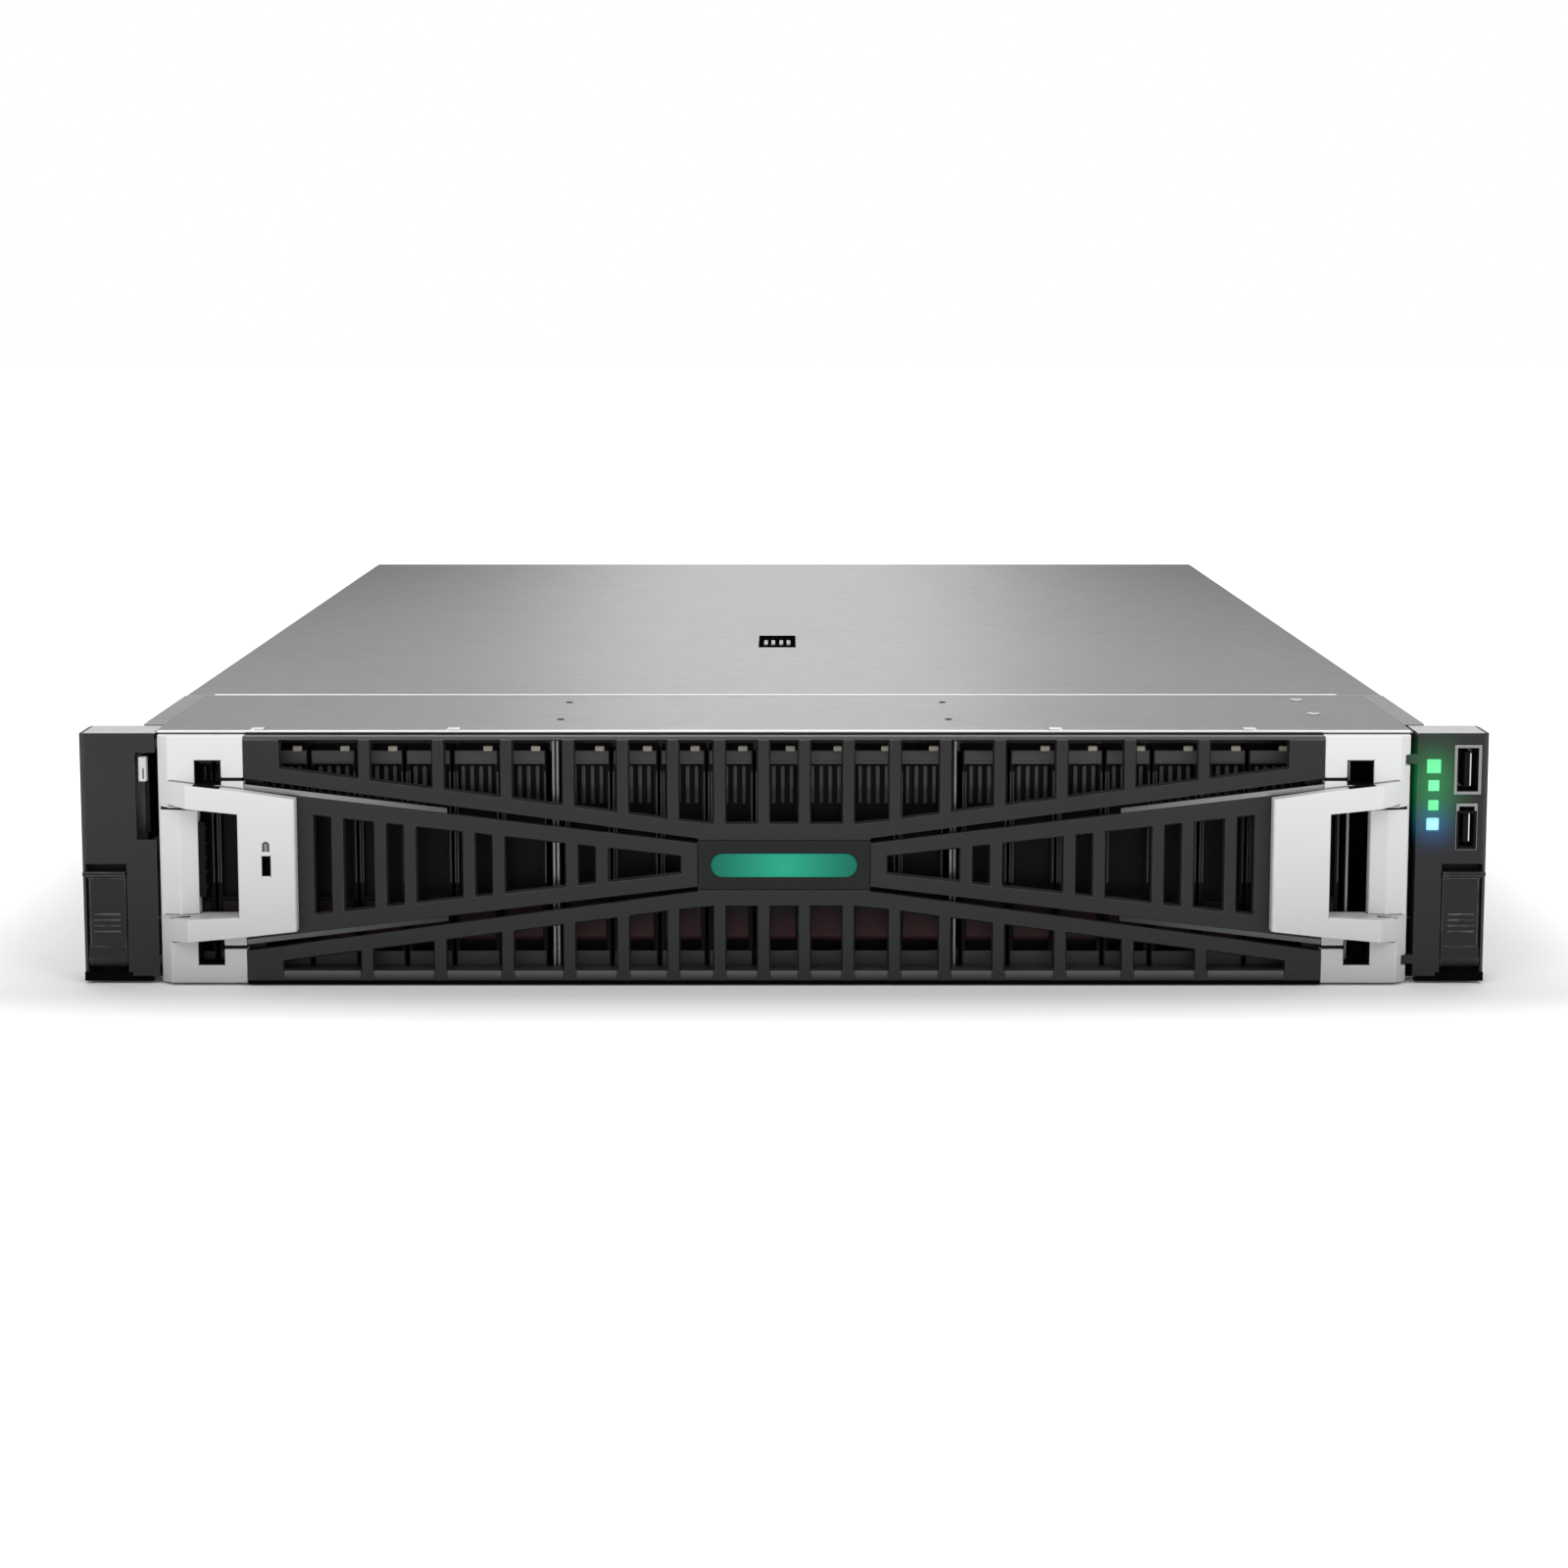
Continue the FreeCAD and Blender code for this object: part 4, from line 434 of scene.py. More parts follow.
class Wiring:
    """Lays nodes into one tree and joins their sockets."""

    def __init__(self, tree: NodeTree) -> None:
        """Take the tree to fill."""
        self.tree = tree

    def node(self, kind: str, sockets: dict[str | int, object] | None = None, **settings: object) -> Node:
        """Add a node.

        Args:
            kind: Blender's node type.
            sockets: Values or sockets for its inputs, by name or number.
            settings: Values for its own properties.

        Returns:
            The new node.
        """
        made = self.tree.nodes.new(kind)
        for name, value in settings.items():
            setattr(made, name, value)
        for name, value in (sockets or {}).items():
            self.feed(made.inputs[name], value)
        return made

    def feed(self, target: Socket, value: object) -> None:
        """Link a socket to an input, or set the input's own value.

        Args:
            target: The input.
            value: A socket, a value, or a tone where the input is a colour.
        """
        if isinstance(value, Socket):
            self.tree.links.new(value, target)
        elif target.type == "RGBA":
            target.default_value = (*(value if isinstance(value, tuple) else (value,) * 3), 1.0)
        else:
            target.default_value = value

    def math(self, operation: str, first: object, second: object = 0.0) -> Socket:
        """Add a Math node of that operation on two values or sockets and give its result."""
        return self.node("ShaderNodeMath", {0: first, 1: second}, operation=operation).outputs[0]

    def times(self, first: object, *others: object) -> Socket:
        """Multiply some values or sockets.

        Args:
            first: First value or socket.
            others: The other values or sockets.

        Returns:
            The product's socket.
        """
        for other in others:
            first = self.math("MULTIPLY", first, other)
        return first

    def spread(self, value: object, source: Span, target: Span = (0.0, 1.0),
               curve: str = "LINEAR") -> Socket:
        """Map one range of values to another, held at its ends.

        Args:
            value: The value or socket to map.
            source: Range of the value.
            target: Range of the result.
            curve: Blender's name for the way between the ends.

        Returns:
            The result's socket.
        """
        names = ("Value", "From Min", "From Max", "To Min", "To Max")
        sockets = dict(zip(names, (value, *source, *target)))
        return self.node("ShaderNodeMapRange", sockets, interpolation_type=curve).outputs["Result"]

    def mix(self, share: object, first: object, second: object, blend: str = "MIX") -> Socket:
        """Mix two tones or sockets by a share and give the mixed colour."""
        sockets = {0: share, 6: first, 7: second}
        return self.node("ShaderNodeMix", sockets, data_type="RGBA", blend_type=blend).outputs[2]

    def noise(self, vector: object, scale: object, detail: float = 2.0) -> Socket:
        """Add a noise texture and give its value."""
        sockets = {"Vector": vector, "Scale": scale, "Detail": detail}
        return self.node("ShaderNodeTexNoise", sockets).outputs["Fac"]

    def coordinates(self) -> Socket:
        """The piece's own coordinates, in metres."""
        return self.node("ShaderNodeTexCoord").outputs["Object"]

    def along(self, axis: Axis) -> Socket:
        """The piece's own coordinate along one axis, in metres."""
        return self.node("ShaderNodeSeparateXYZ", {0: self.coordinates()}).outputs[axis.value]

    def away(self, centre: Place) -> Socket:
        """How far a point lies from a place, in metres."""
        ends = {0: self.coordinates(), 1: place(*centre)}
        return self.node("ShaderNodeVectorMath", ends, operation="DISTANCE").outputs["Value"]

    def attribute(self, name: str) -> Socket:
        """The number of that name that the mesh carries."""
        return self.node("ShaderNodeAttribute", attribute_name=name).outputs["Fac"]

    def effect(self, effect: "Effect", **values: object) -> Socket:
        """Place one of the shared effects, with values for its inputs, and give its output."""
        return self.node("ShaderNodeGroup", values, node_tree=effect.tree()).outputs[0]


class Effect(Enum):
    """Surface effects that several finishes share."""

    GRAIN = "fine_grain"
    WEAR = "edge_wear"
    DUST = "settled_dust"
    DRIFT = "tone_drift"
    SPANGLE = "zinc_spangle"
    FADE = "corner_fade"

    def tree(self) -> NodeTree:
        """The effect's node group, built when it is first asked for."""
        found = bpy.data.node_groups.get(self.value)
        return found or getattr(EffectMaker(self.value), self.value)()


class EffectMaker(Wiring):
    """Builds the node group of one shared effect."""

    patch_noise: Span = (0.38, 0.62)
    patch_levels: Span = (0.25, 1.0)
    upward: Span = (0.3, 1.0)
    film_noise: Span = (0.35, 0.7)
    film_levels: Span = (0.2, 1.0)
    drift_noise: Span = (0.3, 0.7)
    about_zero: Span = (-1.0, 1.0)
    shade_sides: Span = (0.05, 0.22)
    shade_side_levels: Span = (0.15, 1.0)
    shade_depths: Span = (-0.3, 0.36)
    shade_depth_levels: Span = (0.3, 1.0)
    shade_power: float = 1.5

    def __init__(self, name: str) -> None:
        """Start an empty group with that name."""
        super().__init__(bpy.data.node_groups.new(name, "ShaderNodeTree"))

    def inputs(self, **values: float) -> list[Socket]:
        """Give the group number inputs.

        Args:
            values: Each input's name and usual value.

        Returns:
            The sockets inside the group.
        """
        for name, value in values.items():
            socket = self.tree.interface.new_socket(name=name, in_out="INPUT", socket_type="NodeSocketFloat")
            socket.default_value = value
        inside = self.tree.nodes.new("NodeGroupInput")
        return [inside.outputs[name] for name in values]

    def output(self, name: str, value: Socket) -> NodeTree:
        """Give the group its one output.

        Args:
            name: The output's name.
            value: What it gives out.

        Returns:
            The finished group.
        """
        self.tree.interface.new_socket(name=name, in_out="OUTPUT", socket_type="NodeSocketFloat")
        self.tree.links.new(value, self.tree.nodes.new("NodeGroupOutput").inputs[name])
        return self.tree

    def fine_grain(self) -> NodeTree:
        """Make tiny bumps, which may be drawn out along one direction.

        Returns:
            The finished group.
        """
        scale, *stretch = self.inputs(Scale=1500.0, AlongX=1.0, AlongY=1.0, AlongZ=1.0)
        factors = self.node("ShaderNodeCombineXYZ", dict(enumerate(stretch))).outputs[0]
        drawn = self.node("ShaderNodeVectorMath", {0: self.coordinates(), 1: factors}, operation="MULTIPLY")
        return self.output("Height", self.noise(drawn.outputs[0], scale, detail=3.0))

    def edge_wear(self) -> NodeTree:
        """Make broken patches along the rounded edges: partly rubbing, partly a painted highlight of light
        on them.

        Returns:
            The finished group.
        """
        scale, amount = self.inputs(Scale=180.0, Amount=0.5)
        patch = self.spread(self.noise(self.coordinates(), scale), self.patch_noise, self.patch_levels)
        return self.output("Mask", self.times(self.attribute(EDGE_STRIP), patch, amount))

    def settled_dust(self) -> NodeTree:
        """Make a thin uneven film on what faces up.

        Returns:
            The finished group.
        """
        scale, amount = self.inputs(Scale=60.0, Amount=0.2)
        normal = self.node("ShaderNodeNewGeometry").outputs["Normal"]
        up = self.spread(self.node("ShaderNodeSeparateXYZ", {0: normal}).outputs["Z"], self.upward)
        noise = self.noise(self.coordinates(), scale, detail=5.0)
        film = self.spread(noise, self.film_noise, self.film_levels)
        return self.output("Mask", self.times(up, film, amount))

    def tone_drift(self) -> NodeTree:
        """Make a slow change of brightness about one.

        Returns:
            The finished group.
        """
        scale, spread = self.inputs(Scale=14.0, Spread=0.06)
        noise = self.noise(self.coordinates(), scale, detail=3.0)
        level = self.spread(noise, self.drift_noise, self.about_zero)
        return self.output("Value", self.math("ADD", 1.0, self.times(level, spread)))

    def zinc_spangle(self) -> NodeTree:
        """Make the crystal patches of a zinc coat, as brightness about one.

        Returns:
            The finished group.
        """
        scale, spread = self.inputs(Scale=160.0, Spread=0.05)
        cells = self.node("ShaderNodeTexVoronoi", {"Vector": self.coordinates(), "Scale": scale})
        shade = self.node("ShaderNodeSeparateColor", {0: cells.outputs["Color"]}).outputs[0]
        level = self.spread(shade, (0.0, 1.0), self.about_zero)
        return self.output("Value", self.math("ADD", 1.0, self.times(level, spread)))

    def corner_fade(self) -> NodeTree:
        """Make painted shade: brightness that sinks below one towards the rear corners, standing for a
        darker reflection there.

        Returns:
            The finished group.
        """
        amount, = self.inputs(Amount=0.3)
        side = self.spread(self.math("ABSOLUTE", self.along(Axis.X)), self.shade_sides, self.shade_side_levels)
        rear = self.spread(self.along(Axis.Y), self.shade_depths, self.shade_depth_levels)
        shade = self.times(side, self.math("POWER", rear, self.shade_power), amount)
        return self.output("Value", self.math("SUBTRACT", 1.0, shade))


# Finishes


@dataclass(frozen=True)
class Finish:
    """What every finish has: a name, a colour and how its surface scatters light."""

    name: str
    colour: Tone
    roughness: float = 0.45
    specular: float = 0.5
    metallic: float = 0.0
    sheen_edge: float = 1.0
    drift: float = 0.06
    drift_scale: float = 14.0
    grain: float = 0.05
    grain_scale: float = 1500.0
    grain_height: float = 0.0002
    grain_noise: Span = (0.3, 0.7)
    stretch: Place = (1.0, 1.0, 1.0)
    spangle: float = 0.0
    # Painted shade towards the rear corners, as a share of the colour.
    corner_shading: float = 0.0
    # Bright patches on the rounded edges: partly rubbing, partly a painted highlight of light catching them.
    wear_and_highlight: float = 0.0
    worn_and_highlight_tone: Tone = 0.5
    dust: float = 0.0
    dusty: Tone = (0.42, 0.4, 0.37)
    crease_shade: float = 0.0
    crease_shade_tone: Tone = 0.1
    uneven: float = 0.06

    def material(self) -> bpy.types.Material:
        """Give the material that every piece with this finish shares, built when it is first asked for.

        Returns:
            The material.
        """
        name = self.name + "_finish"
        made = bpy.data.materials.get(name)
        if not made:
            made = bpy.data.materials.new(name)
            made.use_nodes = True
            made.node_tree.nodes.clear()
            self.wire(Wiring(made.node_tree))
        return made

    def wire(self, wiring: Wiring) -> None:
        """Lay the surface's nodes into a material.

        Args:
            wiring: The material's wiring.
        """
        along = dict(zip(("AlongX", "AlongY", "AlongZ"), self.stretch))
        grain = wiring.effect(Effect.GRAIN, Scale=self.grain_scale, **along)
        bump = wiring.node("ShaderNodeBump", {
            "Strength": self.grain, "Distance": self.grain_height, "Height": grain})
        rough = (self.roughness - self.uneven, self.roughness + self.uneven)
        surface = wiring.node("ShaderNodeBsdfPrincipled", {
            "Base Color": self.tone(wiring), "Metallic": self.metallic, "Specular IOR Level": self.specular,
            "Specular Tint": self.sheen_edge, "Roughness": wiring.spread(grain, self.grain_noise, rough),
            "Normal": bump.outputs["Normal"], **self.extras(wiring)})
        wiring.node("ShaderNodeOutputMaterial", {"Surface": surface.outputs["BSDF"]})

    def base(self, wiring: Wiring) -> object:
        """The clean colour before drift, rubbed edges with their painted highlight, and dust."""
        return self.colour

    def extras(self, wiring: Wiring) -> dict[str, object]:
        """What the Principled node is fed beyond the usual, by the names of its inputs."""
        return {}

    def tone(self, wiring: Wiring) -> Socket:
        """Lay the colour's nodes into a material.

        Args:
            wiring: The material's wiring.

        Returns:
            The colour with its drift, spangle, painted corner shade, rubbed edges with a painted highlight,
            painted shade in hollows, and dust.
        """
        level = wiring.effect(Effect.DRIFT, Scale=self.drift_scale, Spread=self.drift)
        if self.spangle:
            level = wiring.times(level, wiring.effect(Effect.SPANGLE, Spread=self.spangle))
        # Painted shade towards the rear corners.
        if self.corner_shading:
            level = wiring.times(level, wiring.effect(Effect.FADE, Amount=self.corner_shading))
        colour = wiring.mix(1.0, self.base(wiring), level, "MULTIPLY")
        # Edges lightened by rubbing and by a painted highlight.
        if self.wear_and_highlight:
            colour = wiring.mix(wiring.effect(Effect.WEAR, Amount=self.wear_and_highlight), colour, self.worn_and_highlight_tone)
        # Painted shade in the hollow roundings, where parts meet.
        if self.crease_shade:
            share = wiring.times(wiring.attribute(CREASE_STRIP), self.crease_shade)
            colour = wiring.mix(share, colour, self.crease_shade_tone)
        if self.dust:
            colour = wiring.mix(wiring.effect(Effect.DUST, Amount=self.dust), colour, self.dusty)
        return colour


@dataclass(frozen=True)
class GradedFinish(Finish):
    """A finish that is darker low down than high up, or the other way round."""

    low: Tone = 0.5
    levels: Span = (0.0, 86.0)
    rise: float = 1.0

    def base(self, wiring: Wiring) -> object:
        """The clean colour at each height."""
        share = wiring.spread(wiring.along(Axis.Z), metres(self.levels))
        return wiring.mix(wiring.math("POWER", share, self.rise), self.low, self.colour)


@dataclass(frozen=True)
class TrimMetal(GradedFinish):
    """The bright strips of the bezel, painted darker towards their inner ends as painted shade."""

    ends: Span = (116.0, 184.0)
    inner_end_shade: float = 0.3

    def base(self, wiring: Wiring) -> object:
        """Paint shade on the strips' colour towards their inner ends.

        Args:
            wiring: The material's wiring.

        Returns:
            The colour's socket.
        """
        across = wiring.math("ABSOLUTE", wiring.along(Axis.X))
        share = wiring.spread(across, metres(self.ends), (self.inner_end_shade, 1.0))
        return wiring.mix(1.0, super().base(wiring), share, "MULTIPLY")


@dataclass(frozen=True)
class CapPlastic(GradedFinish):
    """The pale end caps, with a printed shackle over the lock's slot."""

    mark_place: Span = (-176.4, 49.5)
    mark_radii: Span = (0.6, 1.27)
    mark_foot: float = 47.2
    mark_front: float = -9.5
    mark_colour: Tone = 0.03
    mark_middle: Tone = 0.22
    mark_soft: float = 0.12

    def base(self, wiring: Wiring) -> object:
        """Print the shackle on the caps' colour.

        Args:
            wiring: The material's wiring.

        Returns:
            The colour's socket.
        """
        high = wiring.along(Axis.Z)
        across = wiring.math("SUBTRACT", wiring.along(Axis.X), self.mark_place[0] * MM)
        rise = wiring.math("MAXIMUM", wiring.math("SUBTRACT", high, self.mark_place[1] * MM), 0.0)
        square = wiring.math("ADD", wiring.times(across, across), wiring.times(rise, rise))
        away = wiring.math("SQRT", square)
        soft = self.mark_soft * MM
        inner, outer = metres(self.mark_radii)
        band = wiring.spread(away, (inner - soft, inner + soft))
        arch = wiring.spread(away, (outer - soft, outer + soft), (1.0, 0.0))
        legs = wiring.math("GREATER_THAN", high, self.mark_foot * MM)
        front = wiring.math("LESS_THAN", wiring.along(Axis.Y), place(0.0, self.mark_front, 0.0).y)
        mark = wiring.mix(band, self.mark_middle, self.mark_colour)
        return wiring.mix(wiring.times(arch, legs, front), super().base(wiring), mark)


@dataclass(frozen=True)
class PaintedGlow:
    """A light whose shine is painted as a glow on the surface round it."""

    centre: Place
    reach: float
    colour: Tone


@dataclass(frozen=True)
class LitPlastic(GradedFinish):
    """A moulding with the shine of small lights painted on round them as a glow, which may be polished along
    its top.
    """

    painted_glows: tuple[PaintedGlow, ...] = ()
    falloff: float = 2.2
    polished_from: float = 100.0
    polished_step: float = 0.4
    polish: float = 0.2

    def extras(self, wiring: Wiring) -> dict[str, object]:
        """Lay the painted glow of each light and the polish of the upper edge.

        Args:
            wiring: The material's wiring.

        Returns:
            Values for the Principled node, by the names of its inputs.
        """
        step = metres((self.polished_from, self.polished_from + self.polished_step))
        shine: object = 0.0
        for glow in self.painted_glows:
            near = wiring.spread(wiring.away(glow.centre), (0.0, glow.reach * MM), (1.0, 0.0))
            shine = wiring.mix(wiring.math("POWER", near, self.falloff), shine, glow.colour, "ADD")
        return {"Coat Weight": wiring.spread(wiring.along(Axis.Z), step), "Coat Roughness": self.polish,
                "Emission Color": shine, "Emission Strength": 1.0}


@dataclass(frozen=True)
class Lamp(Finish):
    """A small lit window, brightest in its middle."""

    centre: Place = (0.0, 0.0, 0.0)
    reach: float = 4.0
    rim: Tone = (0.0, 0.3, 0.1)
    strength: float = 1.0
    unlit: float = 0.06

    def base(self, wiring: Wiring) -> object:
        """The window's own dark colour, under its light."""
        return tuple(self.unlit * part for part in self.colour)

    def extras(self, wiring: Wiring) -> dict[str, object]:
        """The light's own shine, by the names of the Principled node's inputs."""
        far = wiring.spread(wiring.away(self.centre), (0.0, self.reach * MM))
        return {"Emission Color": wiring.mix(far, self.colour, self.rim), "Emission Strength": self.strength}


@dataclass(frozen=True)
class PrintedBoard(Finish):
    """A circuit board: lacquer over copper tracks."""

    track: Tone = (0.02, 0.16, 0.07)
    track_scale: float = 220.0
    track_lines: float = 6.0
    track_edge: Span = (0.35, 0.5)

    def base(self, wiring: Wiring) -> object:
        """Lighten the lacquer over the tracks.

        Args:
            wiring: The material's wiring.

        Returns:
            The colour's socket.
        """
        sockets = {"Vector": wiring.coordinates(), "Scale": self.track_scale}
        cells = wiring.node("ShaderNodeTexVoronoi", sockets, distance="MANHATTAN", feature="F1")
        lines = wiring.math("FRACT", wiring.times(cells.outputs["Distance"], self.track_lines))
        return wiring.mix(wiring.spread(lines, self.track_edge), self.colour, self.track)


LIGHT_X = 222.5
GREEN_LIGHTS = (75.2, 68.6, 61.8)
BLUE_LIGHT = 55.2
LIT_GREEN = (0.2, 0.97, 0.44)
BADGE_CENTRE = (0.0, -4.0, 41.7)
BRUSHED_ACROSS = (0.05, 1.0, 1.0)

# The bezel is painted darker lower down as painted shade, and carries the badge lens's painted glow round
# it.
BEZEL_BLACK = LitPlastic(
    "bezel_black", (0.018, 0.018, 0.019), 0.42, specular=0.25, wear_and_highlight=0.25, worn_and_highlight_tone=0.09, dust=0.05,
    low=(0.0155, 0.0155, 0.0165), levels=(0.0, 60.0),
    painted_glows=(PaintedGlow(BADGE_CENTRE, 75.0, (0.0, 0.003, 0.002)),), polished_from=84.5)
# The caps are painted darker towards the bottom and in their hollow roundings: painted shade.
CAP_SILVER = CapPlastic(
    "cap_silver", 0.88, 0.38, drift=0.02, wear_and_highlight=0.2, worn_and_highlight_tone=0.9, grain_scale=1100.0, low=0.36,
    levels=(0.0, 84.0), rise=0.5, crease_shade=0.85)
# The trim strips are painted darker lower down and towards their inner ends: painted shade.
TRIM_SILVER = TrimMetal(
    "trim_silver", 0.28, 0.3, metallic=1.0, stretch=BRUSHED_ACROSS, low=0.1, levels=(30.0, 56.0))
# The sills are painted bright along their top edge and dark below: a painted highlight over painted shade.
SILL_BLACK = GradedFinish(
    "sill_black", (0.1, 0.1, 0.103), 0.42, specular=0.25, drift=0.05, low=0.008, levels=(1.6, 4.8))
LINER_BLACK = Finish("liner_black", 0.003, 0.6, specular=0.1, drift=0.1)
BADGE_BLACK = Finish("badge_black", (0.006, 0.007, 0.007), 0.3, specular=0.2, wear_and_highlight=0.3, worn_and_highlight_tone=0.05)
# The badge lens is no lamp: its glow, brightest in the middle, is painted light standing for its bright
# colour.
LENS_TEAL = Lamp(
    "lens_teal", (0.02, 0.44, 0.28), 0.25, specular=0.15, centre=BADGE_CENTRE, reach=26.0,
    rim=(0.002, 0.13, 0.085), strength=0.85)
# The ear is painted darker lower down: painted shade.
EAR_BLACK = GradedFinish(
    "ear_black", (0.025, 0.025, 0.026), 0.5, specular=0.25, wear_and_highlight=0.25, worn_and_highlight_tone=0.09, dust=0.05,
    low=(0.015, 0.015, 0.016), levels=(20.0, 70.0))
# The lit ear carries a painted glow round each light, and is painted darker lower down as painted shade.
LIT_EAR_BLACK = LitPlastic(
    "lit_ear_black", (0.019, 0.02, 0.02), 0.5, specular=0.25, wear_and_highlight=0.25, worn_and_highlight_tone=0.09, dust=0.05,
    low=(0.015, 0.015, 0.016), levels=(20.0, 70.0),
    painted_glows=(*(PaintedGlow((LIGHT_X, 0.0, z), 18.0, (0.004, 0.12, 0.03)) for z in GREEN_LIGHTS),
           PaintedGlow((LIGHT_X, 0.0, BLUE_LIGHT), 13.0, (0.008, 0.055, 0.25))))
LEVER_BLACK = Finish("lever_black", (0.013, 0.013, 0.014), specular=0.22, drift=0.03, wear_and_highlight=0.5, worn_and_highlight_tone=0.17)
BRACKET_STEEL = Finish("bracket_steel", (0.42, 0.42, 0.43), 0.36, metallic=1.0, spangle=0.05, drift=0.05)
PIN_STEEL = Finish("pin_steel", 0.5, 0.28, metallic=1.0, stretch=(1.0, 0.1, 1.0))
CARD_BLACK = Finish("card_black", 0.008, 0.5, specular=0.2, drift=0.08)
GRIP_WHITE = Finish("grip_white", (0.72, 0.72, 0.71), 0.4, drift=0.03)
LAMP_GREEN = Lamp(
    "lamp_green", LIT_GREEN, 0.3, centre=(LIGHT_X, 0.0, GREEN_LIGHTS[1]), reach=14.0, rim=(0.1, 0.86, 0.26))
LAMP_BLUE = Lamp(
    "lamp_blue", (0.5, 0.95, 0.95), 0.3, centre=(LIGHT_X, 0.0, BLUE_LIGHT), reach=4.0,
    rim=(0.22, 0.75, 0.95))
SOCKET_METAL = Finish("socket_metal", 0.24, 0.3, metallic=1.0, drift=0.05)
BOARD_GREEN = PrintedBoard("board_green", (0.006, 0.06, 0.025), 0.35, drift=0.08)
CAGE_STEEL = Finish("cage_steel", (0.18, 0.18, 0.184), 0.38, metallic=1.0, sheen_edge=0.6, spangle=0.06)
CARRIER_BLACK = Finish("carrier_black", (0.0035, 0.0035, 0.004), specular=0.08, wear_and_highlight=0.2, worn_and_highlight_tone=0.03)
CARRIER_GREY = Finish("carrier_grey", (0.08, 0.081, 0.083), 0.42, specular=0.3, wear_and_highlight=0.3, worn_and_highlight_tone=0.16)
BAR_WORN_AND_HIGHLIGHT = (0.12, 0.12, 0.13)
VENT_GREY = Finish("vent_grey", (0.03, 0.032, 0.035), 0.42, specular=0.3, wear_and_highlight=0.3, worn_and_highlight_tone=BAR_WORN_AND_HIGHLIGHT)
BAR_GREY = GradedFinish(
    "bar_grey", (0.06, 0.063, 0.067), 0.42, specular=0.3, wear_and_highlight=0.3, worn_and_highlight_tone=BAR_WORN_AND_HIGHLIGHT, low=(0.02, 0.021, 0.022),
    levels=(65.5, 68.5))
RIM_GREY = Finish("rim_grey", 0.12, 0.4, drift=0.05)
TAB_CREAM = Finish("tab_cream", (0.62, 0.57, 0.47), drift=0.05)
BUTTON_PLUM = GradedFinish(
    "button_plum", (0.003, 0.002, 0.002), 0.42, specular=0.12, drift=0.12, drift_scale=60.0,
    low=(0.06, 0.027, 0.03), levels=(14.0, 30.0))
CHASSIS_STEEL = Finish(
    "chassis_steel", (0.3, 0.3, 0.305), 0.42, metallic=1.0, sheen_edge=0.6, spangle=0.05, drift=0.035,
    wear_and_highlight=0.2, worn_and_highlight_tone=0.6, dust=0.03)
# The cover's steel is painted darker towards its rear corners: painted shade standing for a darker
# reflection.
COVER_STEEL = Finish(
    "cover_steel", (0.285, 0.285, 0.291), 0.42, metallic=1.0, sheen_edge=0.6, spangle=0.03, drift=0.025,
    corner_shading=0.64, stretch=(0.06, 1.0, 1.0), wear_and_highlight=0.2, worn_and_highlight_tone=0.6, dust=0.025)
# The same sheet steel as the cover, painted far brighter: a painted highlight along folded edges and on the
# tabs.
HEM_HIGHLIGHT_STEEL = Finish(
    "hem_highlight_steel", (0.66, 0.66, 0.67), 0.36, metallic=1.0, sheen_edge=0.8, stretch=BRUSHED_ACROSS)
RIVET_STEEL = Finish("rivet_steel", (0.05, 0.05, 0.052), metallic=0.6, drift=0.05)
SCREW_STEEL = Finish(
    "screw_steel", (0.55, 0.55, 0.56), 0.32, metallic=1.0, drift=0.04, wear_and_highlight=0.4, worn_and_highlight_tone=0.75)
VIDEO_BLUE = Finish("video_blue", (0.012, 0.06, 0.4))
CONTACT_GOLD = Finish("contact_gold", (0.75, 0.52, 0.2), 0.3, metallic=1.0, drift=0.05)
CAN_SILVER = Finish("can_silver", (0.6, 0.6, 0.61), 0.35, metallic=1.0, drift=0.05)
LATCH_BLACK = Finish("latch_black", 0.01, 0.4, wear_and_highlight=0.2, worn_and_highlight_tone=0.08, dust=0.06)
GRIP_GREY = Finish("grip_grey", 0.4, 0.5, specular=0.1, drift=0.04)
POCKET_BLACK = Finish("pocket_black", 0.003, 0.6, specular=0.0, drift=0.1)
FAN_BLACK = Finish("fan_black", (0.012, 0.012, 0.013), 0.42, wear_and_highlight=0.2, worn_and_highlight_tone=0.07, dust=0.12)
CONNECTOR_BLACK = Finish("connector_black", (0.014, 0.014, 0.015), 0.5, wear_and_highlight=0.2, worn_and_highlight_tone=0.06)
SINK_ALUMINIUM = Finish("sink_aluminium", (0.62, 0.63, 0.64), 0.32, metallic=1.0, stretch=(1.0, 0.05, 1.0))
SUPPLY_STEEL = Finish(
    "supply_steel", (0.42, 0.42, 0.43), 0.38, metallic=1.0, spangle=0.06, wear_and_highlight=0.3, worn_and_highlight_tone=0.7)
LATCH_PLUM = Finish("latch_plum", (0.2, 0.03, 0.05), 0.42, drift=0.1, wear_and_highlight=0.25, worn_and_highlight_tone=(0.4, 0.15, 0.17))


# The studio


@dataclass(frozen=True)
class SoftLamp:
    """One soft studio lamp that points at the object."""

    name: str
    where: Place
    size: Span
    power: float
    target: Place = (0.0, 200.0, 40.0)

    def hang(self) -> None:
        """Hang the lamp in the studio."""
        data = bpy.data.lights.new(self.name, "AREA")
        data.shape = "RECTANGLE"
        data.size, data.size_y = self.size
        data.energy = self.power
        lamp = bpy.data.objects.new(self.name, data)
        lamp.location = place(*self.where)
        lamp.rotation_euler = (place(*self.target) - lamp.location).to_track_quat("-Z", "Y").to_euler()
        bpy.context.scene.collection.objects.link(lamp)


